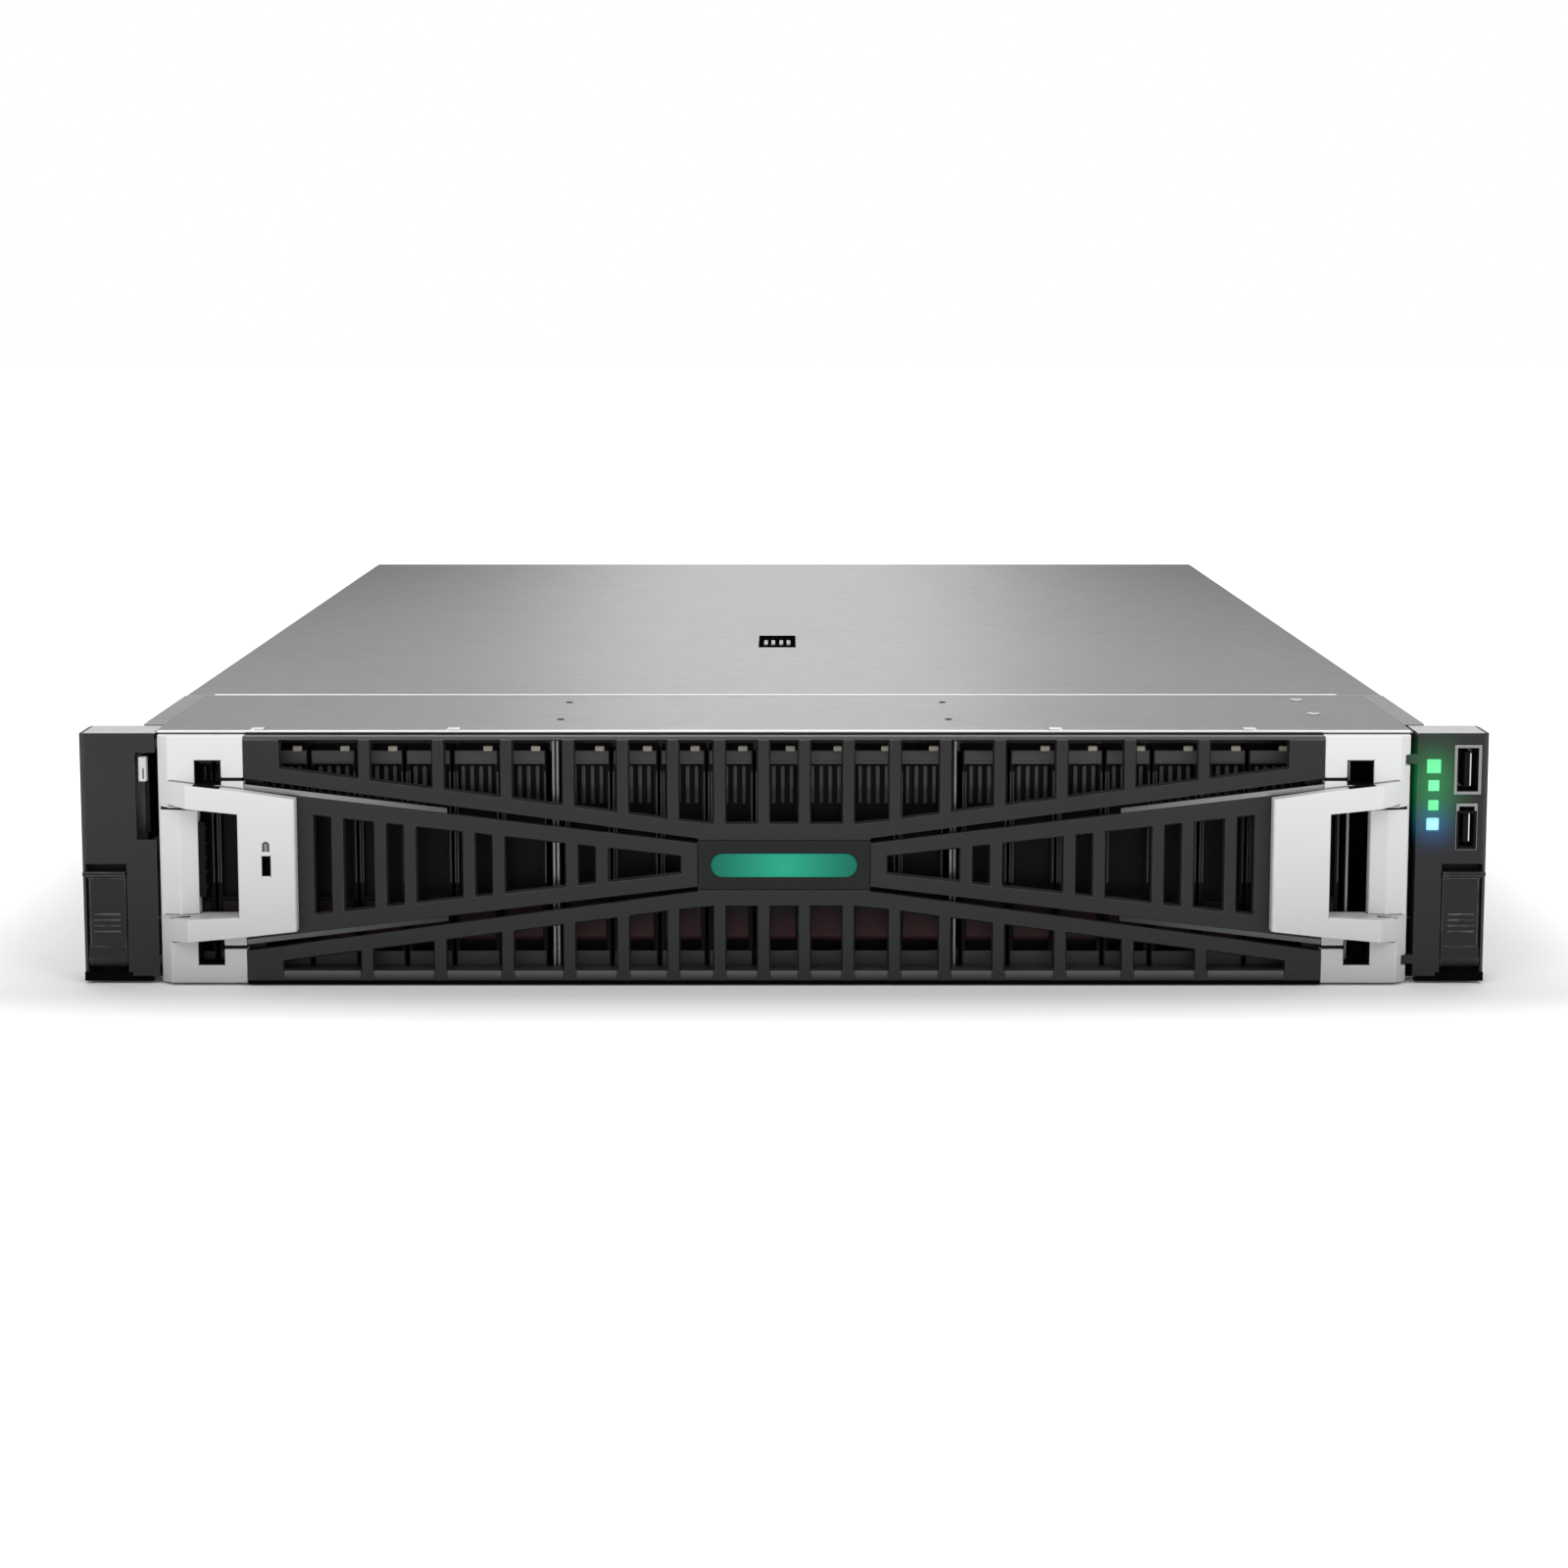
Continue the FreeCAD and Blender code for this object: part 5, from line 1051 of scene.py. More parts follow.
@dataclass
class Studio:
    """Camera, pale floor, soft lamps and the white surround."""

    camera_place: Place = (0.0, -1168.9, 237.4)
    camera_pitch: float = 81.81
    lens: float = 79.2
    floor_half: float = 9.0
    floor_drop: float = 0.4
    floor_colour: Tone = 0.95
    floor_roughness: float = 0.8
    floor_specular: float = 0.1
    foot_half: Span = (256.0, 377.5)
    # The floor's glow is weakest near the object's footprint, which paints part of the soft shadow round it.
    near_lift: float = 0.03
    wide_lift: float = 0.42
    far_lift: float = 0.25
    wide_reach: float = 0.1
    far_reach: float = 1.6
    ambient: float = 0.44
    lamps: tuple[SoftLamp, ...] = (
        SoftLamp("key_lamp", (-900.0, -1500.0, 1500.0), (1.5, 1.5), 12.0),
        SoftLamp("fill_lamp", (1100.0, -1200.0, 1100.0), (1.2, 1.2), 9.0),
        SoftLamp("top_lamp", (0.0, 900.0, 1700.0), (2.2, 1.2), 14.0),
        SoftLamp("back_lamp", (0.0, 2700.0, 700.0), (0.5, 0.4), 2.4))

    def build(self) -> None:
        """Set up the whole studio."""
        self.aim_camera()
        self.lay_floor()
        self.light_surround()
        for lamp in self.lamps:
            lamp.hang()
        bpy.context.scene.view_settings.view_transform = "Standard"

    def aim_camera(self) -> None:
        """Put the camera at the photograph's viewing angle."""
        data = bpy.data.cameras.new("camera")
        data.lens = self.lens
        camera = bpy.data.objects.new("camera", data)
        camera.location = place(*self.camera_place)
        camera.rotation_euler = (math.radians(self.camera_pitch), 0.0, 0.0)
        bpy.context.scene.collection.objects.link(camera)
        bpy.context.scene.camera = camera

    def lay_floor(self) -> None:
        """Lay a wide pale floor just under the object."""
        clear_selection()
        below = (0.0, 0.0, -self.floor_drop * MM)
        bpy.ops.mesh.primitive_plane_add(size=2 * self.floor_half, location=below)
        floor = apply_place()
        floor.name = "floor"
        made = bpy.data.materials.new("pale_floor")
        made.use_nodes = True
        made.node_tree.nodes.clear()
        self.wire_floor(Wiring(made.node_tree))
        floor.data.materials.append(made)

    def wire_floor(self, wiring: Wiring) -> None:
        """Lay the nodes of a floor that runs out into white and keeps the object's shadow; its glow is
        lowered near the object's footprint, which paints part of that shadow.

        Args:
            wiring: The floor's wiring.
        """
        square: object = 0.0
        for axis, half in zip((Axis.X, Axis.Y), self.foot_half):
            past = wiring.math("SUBTRACT", wiring.math("ABSOLUTE", wiring.along(axis)), half * MM)
            past = wiring.math("MAXIMUM", past, 0.0)
            square = wiring.math("ADD", square, wiring.times(past, past))
        away = wiring.math("SQRT", square)
        wide = wiring.spread(away, (0.0, self.wide_reach), (self.near_lift, self.wide_lift), "SMOOTHSTEP")
        far = wiring.spread(away, (self.wide_reach, self.far_reach), (0.0, self.far_lift))
        surface = wiring.node("ShaderNodeBsdfPrincipled", {
            "Base Color": self.floor_colour, "Roughness": self.floor_roughness,
            "Specular IOR Level": self.floor_specular, "Emission Color": 1.0,
            "Emission Strength": wiring.times(self.seen_directly(wiring), wiring.math("ADD", wide, far))})
        wiring.node("ShaderNodeOutputMaterial", {"Surface": surface.outputs["BSDF"]})

    @staticmethod
    def seen_directly(wiring: Wiring) -> Socket:
        """Tell the rays of the camera, and those that metal and glass send on, from the rest.

        Args:
            wiring: The wiring to lay the test into.

        Returns:
            A socket that is one for those rays and zero for others.
        """
        path = wiring.node("ShaderNodeLightPath")
        seen = wiring.math("MAXIMUM", path.outputs["Is Camera Ray"], path.outputs["Is Glossy Ray"])
        return wiring.math("MAXIMUM", seen, path.outputs["Is Transmission Ray"])

    def light_surround(self) -> None:
        """Surround the scene with white to look at and a softer light to be lit by."""
        world = bpy.data.worlds.new("white_surround")
        world.use_nodes = True
        world.node_tree.nodes.clear()
        wiring = Wiring(world.node_tree)
        strength = wiring.spread(self.seen_directly(wiring), (0.0, 1.0), (self.ambient, 1.0))
        surround = wiring.node("ShaderNodeBackground", {"Color": 1.0, "Strength": strength})
        wiring.node("ShaderNodeOutputWorld", {"Surface": surround.outputs["Background"]})
        bpy.context.scene.world = world


# Sub-assemblies


@dataclass(frozen=True)
class Skin:
    """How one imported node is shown: its material slot, its finish and the width of its edge rounding."""

    node: str
    slot: str
    finish: Finish
    edge: float

    def lay(self) -> None:
        """Show the node with rounded edges and its finish."""
        source = frame["nodes"][self.node]
        piece = bpy.data.objects.new(self.node, source.data.copy())
        bpy.context.scene.collection.objects.link(piece)
        with editing(piece):
            bpy.ops.mesh.select_all(action="SELECT")
            bpy.ops.mesh.remove_doubles(threshold=MERGE_REACH * MM)
            bpy.ops.mesh.tris_convert_to_quads(face_threshold=FLAT_ANGLE, shape_threshold=QUAD_ANGLE)
        round_edges(piece, self.edge, FINE_STEPS)
        hand_over(self.node + "_finished", [piece], self.finish, source["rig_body"])
        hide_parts(self.node)


class Assembly:
    """A sub-assembly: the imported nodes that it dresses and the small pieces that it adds."""

    skins: tuple[Skin, ...] = ()

    def build(self) -> None:
        """Dress the nodes, then add the small pieces."""
        for skin in self.skins:
            skin.lay()
        self.add_pieces()

    def add_pieces(self) -> None:
        """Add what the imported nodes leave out."""
        raise NotImplementedError


@dataclass
class Bezel(Assembly):
    """The lockable front bezel."""

    skins: tuple[Skin, ...] = (
        Skin("bezel_grille", "bezel_plastic", BEZEL_BLACK, 0.22),
        Skin("bezel_left_cap", "cap_plastic", CAP_SILVER, 0.45),
        Skin("bezel_right_cap", "cap_plastic", CAP_SILVER, 0.45),
        Skin("bezel_trim_strips", "trim", TRIM_SILVER, 0.2),
        Skin("bezel_badge", "badge", BADGE_BLACK, 0.1),
        Skin("bezel_badge_lens", "lens", LENS_TEAL, 0.3),
        Skin("bezel_hinge_pins", "pin_steel", PIN_STEEL, 0.1),
        Skin("bezel_latch", "latch_black", LINER_BLACK, 0.2))
    hole_x: Span = (192.2, 201.2)
    hole_v: Span = (-3.5, 4.9)
    holes: tuple[Box, ...] = (Box(hole_x, hole_v, (6.8, 15.6)), Box(hole_x, hole_v, (69.2, 77.8)))
    slit_x: Span = (184.8, 192.4)
    slits: tuple[Box, ...] = (Box(slit_x, hole_v, (12.5, 13.6)), Box(slit_x, hole_v, (70.7, 71.8)))
    liner_wall: float = 0.3
    liner_edge: float = 0.1
    fine_edge: float = 0.05
    # A dark lip on each arm below the upper hole, and dark beads under the upper arms: painted shadow.
    shade_lip: Box = Box(hole_x, (-9.5, hole_v[0]), (68.2, 68.95))
    shade_lip_slope: float = 0.95
    shadow_bead_line: tuple[Place, ...] = ((213.4, -1.0, 60.55), (207.0, -2.4, 60.55), (201.1, -0.4, 59.95))
    shadow_bead_v: Span = (-0.15, 0.3)
    shadow_bead_height: float = 0.95
    lock: Box = Box((-177.9, -174.9), (-9.5, -4.5), (38.8, 45.7))
    lock_wall: float = 0.2
    lock_floor: float = 0.3
    barrel: Head = Head(1.15, 2.0)
    window_widths: tuple[float, ...] = (9.25, 10.35, 11.2, 12.5, 13.8, 16.5, 18.5, 20.5, 26.2)
    window_rib: float = 4.7
    sill_v: Span = (-4.4, -3.9)
    sill_z: Span = (1.6, 4.9)
    sill_edge: float = 0.2
    # A dark strip along the bezel's lower edge: painted shadow.
    foot: Box = Box((-184.3, 184.3), (-4.08, -2.0), (0.1, 1.5))

    def add_pieces(self) -> None:
        """Add the linings, sills, the dark strip painted as shadow along the lower edge, and the lock."""
        self.line_caps()
        self.edge_windows()
        hand_over("bezel_shadow_strip", [self.foot.block(self.fine_edge)], POCKET_BLACK, "bezel")
        self.fit_lock()

    def edge_windows(self) -> None:
        """Lay a sill along the lower edge of each window of the bottom row."""
        centre, *others = self.window_widths
        spans, left = [(-centre / 2, centre / 2)], centre / 2 + self.window_rib
        for width in others:
            spans += [(left, left + width), (-left - width, -left)]
            left += width + self.window_rib
        sills = [Box(span, self.sill_v, self.sill_z).block(self.sill_edge) for span in spans]
        hand_over("bezel_sills", sills, SILL_BLACK, "bezel")

    def line_caps(self) -> None:
        """Line the caps' square holes and slits, and lay the dark lips on the arms and the dark beads under
        the upper arms, which are painted shadow.
        """
        pieces = []
        for box in self.holes:
            pieces += row(box.sleeve(self.liner_wall), 2, (-sum(box.x), 0.0, 0.0))
        for box in self.slits:
            pieces += row(box.block(self.liner_edge), 2, (-sum(box.x), 0.0, 0.0))
        for side, outwards in SIDES:
            shade_lip = self.shade_lip.on(side).slanted(outwards, (0.0, 0.0, self.shade_lip_slope), self.liner_edge)
            pieces += [shade_lip, *self.beads(side)]
        hand_over("cap_liners_and_shadows", pieces, LINER_BLACK, "bezel")

    def beads(self, side: int) -> list[Piece]:
        """Make the dark beads that lie under the upper arm of one cap, as painted shadow.

        Args:
            side: Minus one for the left cap, one for the right cap.

        Returns:
            The beads, which follow the cap's folded face.
        """
        inwards = Facing.RIGHT if side < 0 else Facing.LEFT
        made = []
        for (x, v, z), (far_x, far_v, far_z) in zip(self.shadow_bead_line, self.shadow_bead_line[1:]):
            box = Box((x, far_x), self.shadow_bead_v, (z, z + self.shadow_bead_height)).moved(v=v).on(side)
            made.append(box.slanted(inwards, (0.0, far_v - v, far_z - z), self.fine_edge))
        return made

    def fit_lock(self) -> None:
        """Set the lock's lining and barrel into its slot."""
        x, (_, back), z = self.lock.x, self.lock.v, self.lock.z
        floor = Box(x, (back - self.lock_floor, back), z).block(self.fine_edge)
        barrel = self.barrel.put((sum(x) / 2, back, sum(z) / 2), Facing.FRONT)
        pieces = [self.lock.sleeve(self.lock_wall), floor, barrel]
        hand_over("bezel_lock", pieces, LINER_BLACK, "bezel")


@dataclass
class RackEars(Assembly):
    """Both rack ears with their levers and front controls."""

    skins: tuple[Skin, ...] = (
        Skin("left_ear_cover", "ear_plastic", EAR_BLACK, 0.35),
        Skin("right_ear_cover", "ear_plastic", LIT_EAR_BLACK, 0.35),
        Skin("left_ear_bracket", "bracket_steel", BRACKET_STEEL, 0.15),
        Skin("right_ear_bracket", "bracket_steel", BRACKET_STEEL, 0.15),
        Skin("left_rack_lever", "ear_plastic", LEVER_BLACK, 0.25),
        Skin("right_rack_lever", "ear_plastic", LEVER_BLACK, 0.25),
        Skin("rack_lever_pins", "pin_steel", PIN_STEEL, 0.1),
        Skin("info_tab", "tab_card", CARD_BLACK, 0.15),
        Skin("info_tab_sleeve", "ear_plastic", EAR_BLACK, 0.15),
        Skin("power_button", "light_green", LAMP_GREEN, 0.15),
        Skin("identify_button", "button_blue", LAMP_BLUE, 0.15),
        Skin("status_lights", "light_green", LAMP_GREEN, 0.15),
        Skin("usb_sockets", "socket_metal", SOCKET_METAL, 0.15))
    rib: Box = Box((-237.6, -228.4), (-0.15, 0.6), (17.4, 18.2))
    rib_edge: float = 0.25
    rib_pitch: float = 2.0
    rib_count: int = 4
    lever_spread: float = 466.0
    grip: Box = Box((-221.05, -218.35), (0.4, 4.0), (69.95, 78.45))
    grip_edge: float = 0.3
    grip_dish: float = 0.08
    line: Box = Box((-219.6, -219.2), (0.35, 1.2), (70.9, 74.6))
    line_edge: float = 0.1
    usb_x: float = 234.0
    usb_sizes: tuple[Place, ...] = ((65.5, 82.7, 9.4), (46.3, 62.5, 7.4))
    usb_skin: float = 1.1
    usb_v: Span = (0.5, 13.0)
    usb_wall: float = 0.2
    tongue_half: float = 1.05
    tongue_v: Span = (0.8, 12.5)
    tongue_inset: float = 2.45
    tongue_edge: float = 0.15
    contact_x: Span = (-0.3, 0.2)
    contact_lead: float = 0.2
    contact_inset: float = 0.5
    contact_edge: float = 0.08
    mask_top: float = 59.9
    mask_v: Span = (-0.45, 0.3)
    mask_inset: float = 0.25
    # Dark strips along the ears' lower edges: painted shadow.
    shadow_foot_v: Span = (-0.06, 3.0)
    shadow_feet: tuple[Box, ...] = (
        Box((217.5, 224.6), shadow_foot_v, (0.5, 2.3)), Box((224.6, 241.2), shadow_foot_v, (0.5, 3.65)))
    shadow_foot_edge: float = 0.05
    strap_x: float = 223.95
    strap_screws: tuple[Span, ...] = ((48.0, 26.0), (48.0, 62.0))
    strap_head: Head = Head(2.8, 1.1)

    def add_pieces(self) -> None:
        """Add ribs, grips, linings, dark strips painted as shadow along the ears' lower edges, and screws.
        """
        self.rib_levers()
        self.cap_tab()
        self.line_usb()
        shadow_feet = [box.on(side).block(self.shadow_foot_edge) for box in self.shadow_feet for side, _ in SIDES]
        hand_over("ear_shadow_strips", shadow_feet, POCKET_BLACK)
        screws = [self.strap_head.put((side * self.strap_x, *spot), facing)
                  for side, facing in SIDES for spot in self.strap_screws]
        hand_over("strap_screws", screws, SCREW_STEEL)

    def line_usb(self) -> None:
        """Line the upright sockets, cover their tongues and mask the lower one's frame."""
        linings, contacts = [], []
        front, back = self.tongue_v
        for low, high, width in self.usb_sizes:
            inside = (low + self.usb_skin, high - self.usb_skin)
            shell = self.about_usb(width / 2 - self.usb_skin, self.usb_v, inside)
            z = (low + self.tongue_inset, high - self.tongue_inset)
            tongue = self.about_usb(self.tongue_half, self.tongue_v, z)
            linings += [shell.sleeve(self.usb_wall), tongue.block(self.tongue_edge)]
            contact = Box(self.contact_x, (front - self.contact_lead, back),
                          (z[0] + self.contact_inset, z[1] - self.contact_inset))
            contacts.append(contact.moved(self.usb_x + self.tongue_half).block(self.contact_edge))
        low, _, width = self.usb_sizes[1]
        inside = (low + self.mask_inset, self.mask_top)
        mask = self.about_usb(width / 2 - self.mask_inset, self.mask_v, inside)
        linings.append(mask.sleeve(self.usb_skin - self.mask_inset))
        hand_over("usb_linings", linings, LINER_BLACK)
        hand_over("usb_contacts", contacts, SCREW_STEEL)

    def about_usb(self, half: float, v: Span, z: Span) -> Box:
        """The box of that half width about the middle of the sockets."""
        return Box((self.usb_x - half, self.usb_x + half), v, z)

    def rib_levers(self) -> None:
        """Put the finger ribs on both levers."""
        rib = self.rib.fine(self.rib_edge)
        left = joined(row(rib, self.rib_count, (0.0, 0.0, self.rib_pitch)))
        for side, ribs in zip(("left", "right"), row(left, 2, (self.lever_spread, 0.0, 0.0))):
            hand_over(f"{side}_lever_ribs", [ribs], LEVER_BLACK, f"{side}_rack_lever")

    def cap_tab(self) -> None:
        """Put the pale grip and its dark line on the information tab."""
        grip = push(self.grip.fine(self.grip_edge), Facing.FRONT, self.grip_edge, self.grip_dish)
        hand_over("info_tab_grip", [grip], GRIP_WHITE, "info_tab")
        hand_over("info_tab_line", [self.line.block(self.line_edge)], CARD_BLACK, "info_tab")


@dataclass
class DriveBay(Assembly):
    """The drives in their cages; the boxes are those of a drive at the middle."""

    skins: tuple[Skin, ...] = (
        Skin("drive_cages", "cage_steel", CAGE_STEEL, 0.15),
        Skin("drives", "drive_body", CARRIER_BLACK, 0.3),
        Skin("drive_release_buttons", "button_plum", BUTTON_PLUM, 0.3))
    cage_centres: tuple[float, ...] = (-147.0, -10.2, 126.6)
    per_cage: int = 8
    pitch: float = 16.4
    edge: float = 0.25
    face_x: Span = (-7.3, 7.3)
    face_v: Span = (6.8, 7.8)
    cap: Box = Box(face_x, face_v, (75.1, 79.9))
    cap_rim: float = 0.8
    cap_dish: float = 0.3
    tab: Box = Box((2.6, 5.8), face_v, (79.3, 81.4))
    bar: Box = Box((-5.4, -3.9), (9.0, 10.7), (61.0, 74.3))
    bar_pitch: float = 3.1
    bar_count: int = 4
    rim: Box = Box((-0.2, 0.2), (7.15, 7.7), (33.6, 72.5))
    rim_places: tuple[float, ...] = (-7.5, -6.55, 7.3)
    rim_edge: float = 0.12
    sill: Box = Box(face_x, face_v, (3.2, 9.8))
    sill_edge: float = 0.35

    def add_pieces(self) -> None:
        """Add what each drive's face carries, made on the first drive and copied to the others."""
        x = self.places()[0]
        cap = push(self.cap.moved(x).block(self.edge), Facing.FRONT, self.cap_rim, self.cap_dish)
        self.repeat("drive_caps", [cap], CARRIER_GREY)
        self.repeat("drive_tabs", [self.tab.moved(x).block(self.edge)], TAB_CREAM)
        bar = self.bar.moved(x).block(self.edge)
        self.repeat("drive_vent_bars", row(bar, self.bar_count, (self.bar_pitch, 0.0, 0.0)), BAR_GREY)
        rims = [self.rim.moved(x + offset).block(self.rim_edge) for offset in self.rim_places]
        self.repeat("drive_rims", rims, RIM_GREY)
        self.repeat("drive_sills", [self.sill.moved(x).block(self.sill_edge)], VENT_GREY)

    def places(self) -> list[float]:
        """The middle of each drive, cage by cage."""
        steps = [(i - (self.per_cage - 1) / 2) * self.pitch for i in range(self.per_cage)]
        return [centre + step for centre in self.cage_centres for step in steps]

    def repeat(self, name: str, pieces: Sequence[Piece], finish: Finish) -> None:
        """Copy one drive's shapes to every drive and hand over the row.

        Args:
            name: The row's name.
            pieces: The shapes on the first drive.
            finish: What their surface is.
        """
        first, *others = self.places()
        drives = copies(joined(pieces), [(x - first, 0.0, 0.0) for x in others])
        hand_over(name, drives, finish)


@dataclass
class Chassis(Assembly):
    """The steel tray with its fixed front cover, rear panel and rail studs."""

    skins: tuple[Skin, ...] = (
        Skin("chassis_tray", "chassis_steel", CHASSIS_STEEL, 0.2),
        Skin("rear_panel", "chassis_steel", CHASSIS_STEEL, 0.12),
        Skin("front_top_cover", "cover_steel", COVER_STEEL, 0.12))
    wall: float = 222.75
    top: float = 87.2
    hem: Box = Box((-214.6, 214.6), (1.9, 4.2), (86.5, 87.35))
    hem_edge: float = 0.3
    tab: Box = Box((-2.2, 2.2), (4.0, 9.0), (86.9, 87.65))
    tab_places: tuple[float, ...] = (-180.8, -113.5, 93.3, 159.9)
    rivets: tuple[Span, ...] = ((-78.4, 34.0), (-78.4, 84.0), (57.8, 34.0), (57.8, 84.0))
    rivet_head: Head = Head(1.3, 0.3, -0.4)
    screws: tuple[Span, ...] = ((188.4, 49.5), (188.4, 91.0))
    screw_head: Head = Head(2.2, 0.4)
    wall_rivets: tuple[Span, ...] = (
        (110.0, 9.0), (110.0, 74.0), (216.0, 9.0), (270.0, 9.0), (340.0, 9.0), (470.0, 9.0), (535.0, 74.0),
        (600.0, 9.0), (700.0, 9.0), (700.0, 74.0))
    wall_rivet_head: Head = Head(2.3, 0.7, -0.3)
    stud_places: tuple[float, ...] = (100.0, 360.0, 620.0)
    stud_z: float = 43.0
    stud_head: Head = Head(4.4, 1.2, 0.25, 32)
    neck_half: float = 2.5
    neck: Box = Box((wall, 225.15), (-neck_half, neck_half), (stud_z - neck_half, stud_z + neck_half))
    neck_edge: float = 0.15

    def add_pieces(self) -> None:
        """Add the cover's hem and tabs, the fasteners and the studs."""
        hand_over("cover_front_hem", [self.hem.fine(self.hem_edge)], HEM_HIGHLIGHT_STEEL)
        first, *others = self.tab_places
        tabs = copies(self.tab.moved(first).fine(self.hem_edge), [(x - first, 0.0, 0.0) for x in others])
        hand_over("cover_tabs", tabs, HEM_HIGHLIGHT_STEEL)
        rivets = [self.rivet_head.put((*spot, self.top), Facing.UP) for spot in self.rivets]
        hand_over("cover_rivets", rivets, RIVET_STEEL)
        screws = [self.screw_head.put((*spot, self.top), Facing.UP) for spot in self.screws]
        hand_over("cover_screws", screws, SCREW_STEEL)
        rivets = [self.wall_rivet_head.put((side * self.wall, *spot), facing)
                  for side, facing in SIDES for spot in self.wall_rivets]
        hand_over("wall_rivets", rivets, SCREW_STEEL)
        self.set_studs()

    def set_studs(self) -> None:
        """Make the rail studs round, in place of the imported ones."""
        studs = []
        for side, facing in SIDES:
            for v in self.stud_places:
                neck = self.neck.moved(v=v).on(side).block(self.neck_edge)
                studs += [neck, self.stud_head.put((side * self.neck.x[1], v, self.stud_z), facing)]
        piece = hand_over("rail_studs_finished", studs, PIN_STEEL)
        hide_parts("rail_studs")


@dataclass
class Hood(Assembly):
    """The removable hood and its latch."""

    skins: tuple[Skin, ...] = (
        Skin("hood", "cover_steel", COVER_STEEL, 0.2),
        Skin("hood_latch_housing", "latch_black", POCKET_BLACK, 0.2),
        Skin("hood_lever", "latch_black", POCKET_BLACK, 0.2),
        Skin("hood_lever_grips", "grip_grey", GRIP_GREY, 0.2),
        Skin("hood_lever_pin", "pin_steel", PIN_STEEL, 0.1))
    hem: Box = Box((-212.0, 205.8), (107.05, 108.1), (86.7, 87.5))
    hem_edge: float = 0.25

    def add_pieces(self) -> None:
        """Add the hem of the hood's front edge, painted bright as a highlight."""
        hand_over("hood_front_hem", [self.hem.fine(self.hem_edge)], HEM_HIGHLIGHT_STEEL, "hood")


@dataclass
class Interior(Assembly):
    """Fans, main board and what stands on it."""

    fan_count: int = 4
    skins: tuple[Skin, ...] = (
        Skin("fan_cage", "cage_steel", CAGE_STEEL, 0.15),
        Skin("fan_frames", "fan_black", FAN_BLACK, 0.3),
        *(Skin(f"fan_rotor_{i + 1}", "fan_black", FAN_BLACK, 0.3) for i in range(fan_count)),
        Skin("motherboard", "circuit_board", BOARD_GREEN, 0.1),
        Skin("circuit_boards", "circuit_board", BOARD_GREEN, 0.1),
        Skin("board_sockets", "connector", CONNECTOR_BLACK, 0.2),
        Skin("heatsinks", "heatsink", SINK_ALUMINIUM, 0.15),
        Skin("memory_modules", "circuit_board", BOARD_GREEN, 0.2),
        Skin("air_baffle", "fan_black", FAN_BLACK, 0.3))
    fan_pitch: float = 108.0
    pull: Box = Box((-14.0, 14.0), (237.0, 247.0), (80.9, 83.4))
    pull_edge: float = 0.6
    pull_rim: float = 1.4
    pull_dish: float = 1.0
    board_top: float = 7.6
    can_start: Place = (-44.0, 545.0, board_top)
    can_head: Head = Head(4.6, 12.0, 0.04)
    can_count: int = 6
    can_pitch: float = 13.0
    header: Box = Box((128.0, 190.0), (524.0, 530.4), (board_top, board_top + 9.0))
    header_edge: float = 0.4
    header_rim: float = 0.9
    header_depth: float = 6.0
    header_pitch: float = 11.0
    header_count: int = 3
    plate: Box = Box((62.0, 96.0), (524.0, 558.0), (board_top, board_top + 4.0))
    plate_edge: float = 0.3
    fin: Box = Box((62.4, 63.6), (525.0, 557.0), (board_top + 3.5, board_top + 13.0))
    fin_edge: float = 0.2
    fin_count: int = 9
    fin_pitch: float = 4.0

    def add_pieces(self) -> None:
        """Add the fans' pulls, and the capacitors, headers and chip cooler of the board."""
        pull = self.pull.moved(-(self.fan_count - 1) / 2 * self.fan_pitch).fine(self.pull_edge)
        push(pull, Facing.UP, self.pull_rim, self.pull_dish)
        pulls = row(pull, self.fan_count, (self.fan_pitch, 0.0, 0.0))
        hand_over("fan_pulls", pulls, LATCH_PLUM)
        can = self.can_head.put(self.can_start, Facing.UP)
        cans = row(can, self.can_count, (self.can_pitch, 0.0, 0.0))
        hand_over("board_capacitors", cans, CAN_SILVER)
        header = push(self.header.block(self.header_edge), Facing.UP, self.header_rim, self.header_depth)
        headers = row(header, self.header_count, (0.0, self.header_pitch, 0.0))
        hand_over("board_headers", headers, CONNECTOR_BLACK)
        plate = self.plate.block(self.plate_edge)
        fins = row(self.fin.block(self.fin_edge), self.fin_count, (self.fin_pitch, 0.0, 0.0))
        hand_over("board_chip_cooler", [plate, *fins], SINK_ALUMINIUM)


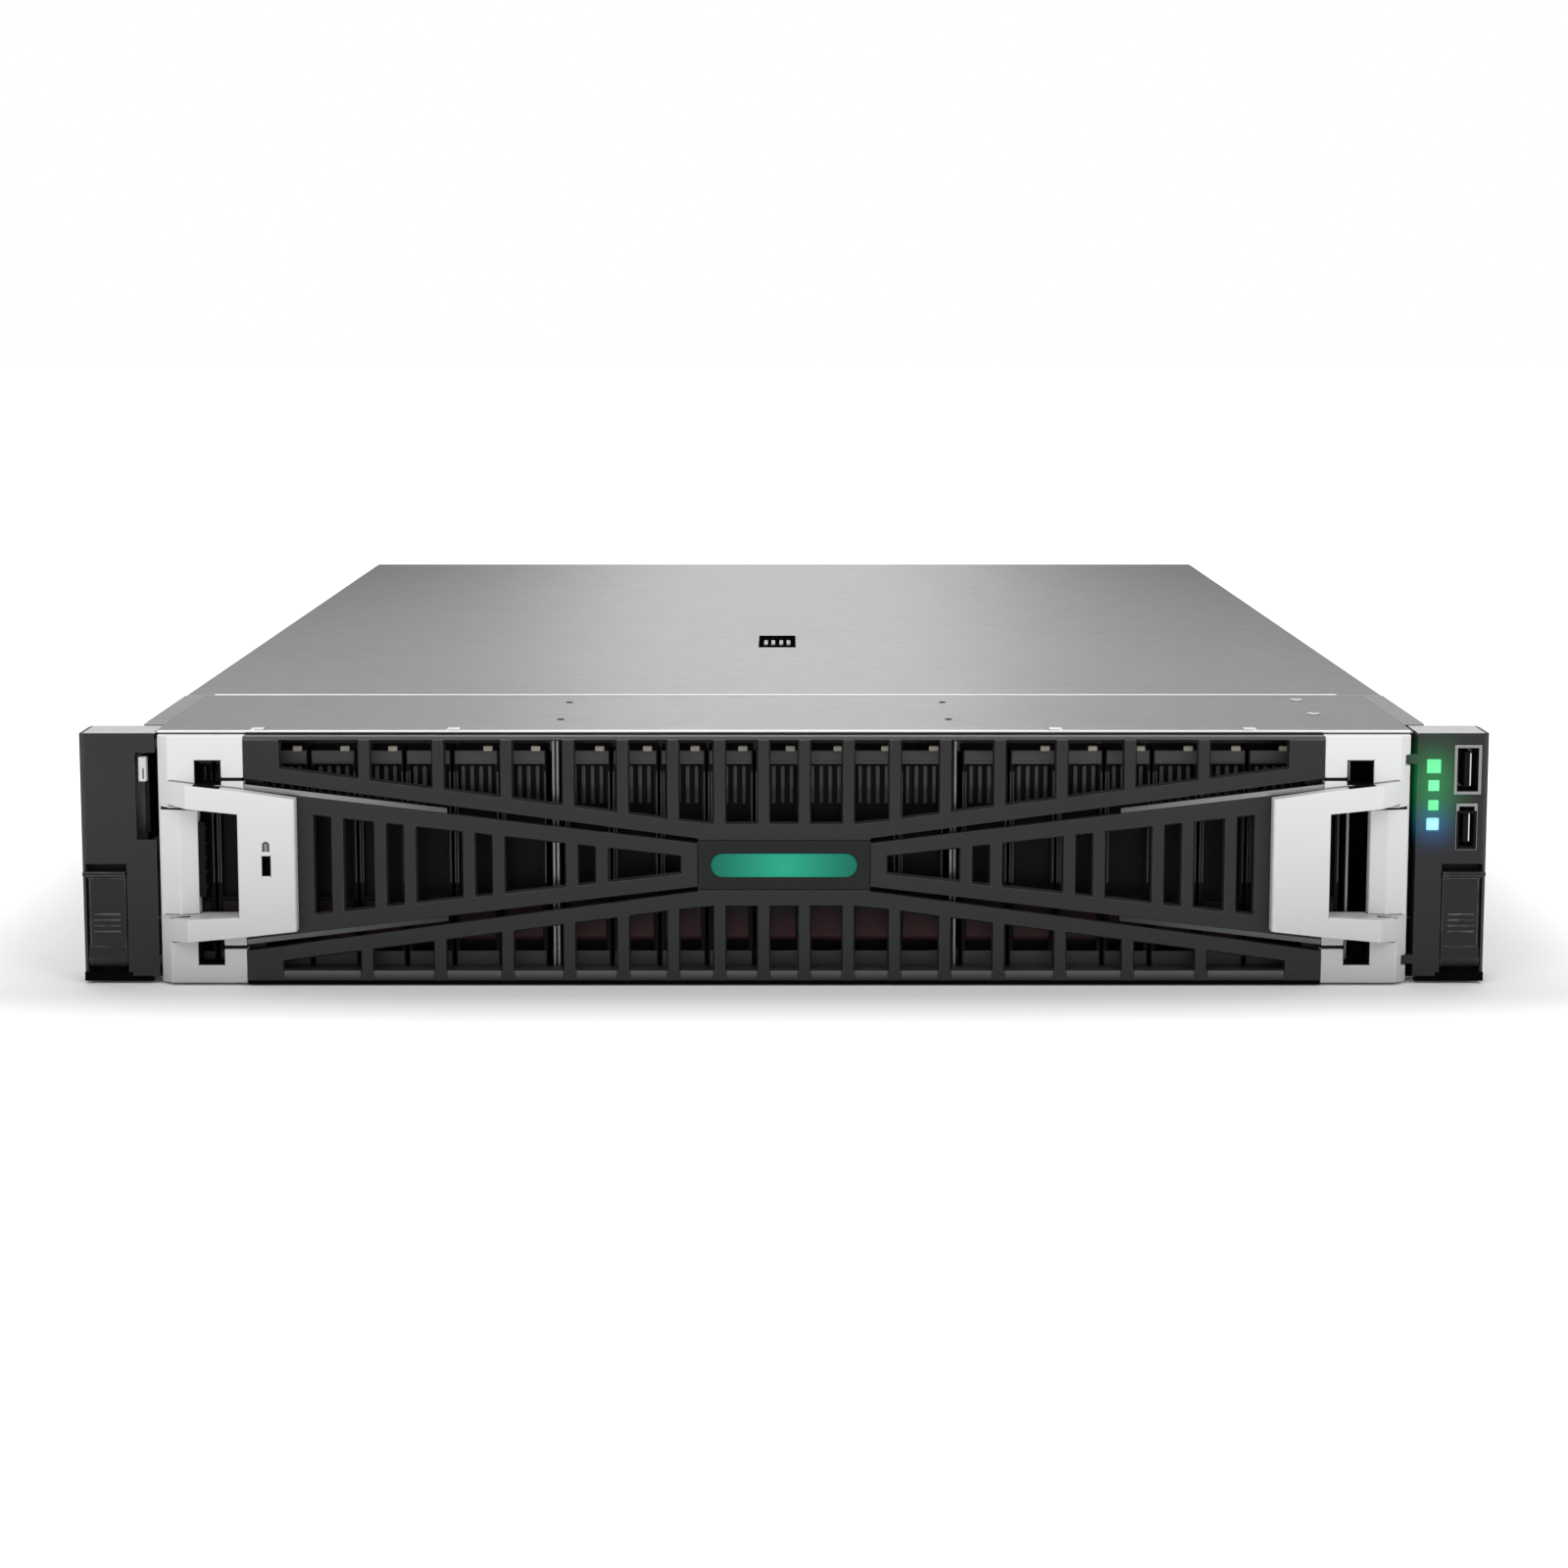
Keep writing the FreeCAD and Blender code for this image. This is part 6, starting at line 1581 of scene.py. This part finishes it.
@dataclass
class Rear(Assembly):
    """Risers, ports, network card and power supplies."""

    skins: tuple[Skin, ...] = (
        Skin("riser_cages", "cage_steel", CAGE_STEEL, 0.12),
        Skin("slot_covers", "cage_steel", SUPPLY_STEEL, 0.12),
        Skin("rear_ports", "socket_metal", SOCKET_METAL, 0.12),
        Skin("network_card", "socket_metal", SOCKET_METAL, 0.12),
        Skin("supply_bay", "chassis_steel", CHASSIS_STEEL, 0.12))
    supply_skins: tuple[Skin, ...] = (
        Skin("case", "supply_steel", SUPPLY_STEEL, 0.2),
        Skin("handle", "latch_black", LATCH_BLACK, 0.5),
        Skin("inlet", "connector", CONNECTOR_BLACK, 0.2),
        Skin("latch", "supply_latch", LATCH_PLUM, 0.25))
    back: float = 720.0
    port_back: float = 720.4
    light_places: tuple[float, ...] = (-182.6, -107.6)
    light_z: float = 35.6
    light_sunk: float = 0.2
    light_head: Head = Head(1.5, 0.9, -0.2)
    light_reach: float = 2.5
    light_roughness: float = 0.3
    light_rim: Tone = (0.05, 0.6, 0.16)
    panel_screws: tuple[Span, ...] = (
        (75.5, 78.0), (75.5, 36.0), (214.0, 78.0), (214.0, 36.0), (-70.0, 78.0), (-212.6, 78.0))
    panel_head: Head = Head(2.4, 1.0)
    cover_columns: tuple[tuple[float, int], ...] = ((147.0, 3), (4.0, 3), (-144.0, 2))
    cover_offset: float = 55.6
    cover_top: float = 75.1
    cover_pitch: float = 19.7
    cover_back: float = 719.0
    cover_head: Head = Head(2.1, 1.3)
    knob: Place = (174.0, 728.2, 14.0)
    knob_head: Head = Head(2.9, 0.6)
    video: Box = Box((30.2, 49.8), (725.0, 726.0), (10.9, 17.0))
    video_edge: float = 0.4
    hole_start: float = 32.6
    hole_pitch: Span = (2.2, 1.9)
    hole_rows: tuple[int, ...] = (7, 6, 7)
    hole_sunk: float = 0.1
    hole_head: Head = Head(0.6, 0.25, 0.6, 8)
    jack_places: tuple[float, ...] = (25.7, 54.3)
    jack_z: float = 14.0
    jack_head: Head = Head(1.6, 3.0, 0.4, 6)
    contact: Box = Box((4.2, 4.8), (707.0, 717.0), (17.6, 18.2))
    contact_edge: float = 0.1
    contact_pitch: float = 1.02
    contact_count: int = 8

    def add_pieces(self) -> None:
        """Dress the supplies and add the fasteners and the sockets' faces and contacts."""
        for number, x in enumerate(self.light_places, 1):
            self.dress_supply(f"supply_{number}", x)
        self.screw_panel()
        self.fill_video()
        contact = self.contact.block(self.contact_edge)
        contacts = row(contact, self.contact_count, (self.contact_pitch, 0.0, 0.0))
        hand_over("network_contacts", contacts, CONTACT_GOLD)

    def dress_supply(self, supply: str, x: float) -> None:
        """Dress one supply and set its state light into it.

        Args:
            supply: The supply's body.
            x: The light's place across the back.
        """
        for skin in self.supply_skins:
            Skin(f"{supply}_{skin.node}", skin.slot, skin.finish, skin.edge).lay()
        name = supply + "_light"
        lamp = Lamp(name, LIT_GREEN, self.light_roughness, centre=(x, self.back, self.light_z),
                    reach=self.light_reach, rim=self.light_rim)
        lens = self.light_head.put((x, self.back - self.light_sunk, self.light_z), Facing.BACK)
        hand_over(name, [lens], lamp, supply)

    def screw_panel(self) -> None:
        """Put the screws into the rear panel, the slot covers and the network card's knob."""
        screws = [self.panel_head.put((x, self.back, z), Facing.BACK) for x, z in self.panel_screws]
        for centre, count in self.cover_columns:
            for i in range(count):
                foot = (centre + self.cover_offset, self.cover_back, self.cover_top - i * self.cover_pitch)
                screws.append(self.cover_head.put(foot, Facing.BACK))
        screws.append(self.knob_head.put(self.knob, Facing.BACK))
        hand_over("rear_screws", screws, SCREW_STEEL)

    def fill_video(self) -> None:
        """Give the video socket its blue face, its contact holes and its jack screws."""
        hand_over("video_face", [self.video.fine(self.video_edge)], VIDEO_BLUE)
        along, down = self.hole_pitch
        foot = (self.hole_start, self.video.v[1] - self.hole_sunk, self.jack_z + down)
        longest = max(self.hole_rows)
        shifts = [((i + (longest - count) / 2) * along, 0.0, -level * down)
                  for level, count in enumerate(self.hole_rows) for i in range(count)]
        holes = copies(self.hole_head.put(foot, Facing.BACK), shifts[1:])
        hand_over("video_holes", holes, CONNECTOR_BLACK)
        jacks = [self.jack_head.put((x, self.port_back, self.jack_z), Facing.BACK) for x in self.jack_places]
        hand_over("video_jack_screws", jacks, SCREW_STEEL)


def main() -> None:
    """Build the server's looks and the studio round it."""
    logging.basicConfig(level=logging.INFO, format="%(name)s: %(message)s")
    for part in (Bezel(), RackEars(), DriveBay(), Chassis(), Hood(), Interior(), Rear(), Studio()):
        part.build()
        log.info("%s done", type(part).__name__)
    clear_selection()


if __name__ == "__main__":
    main()
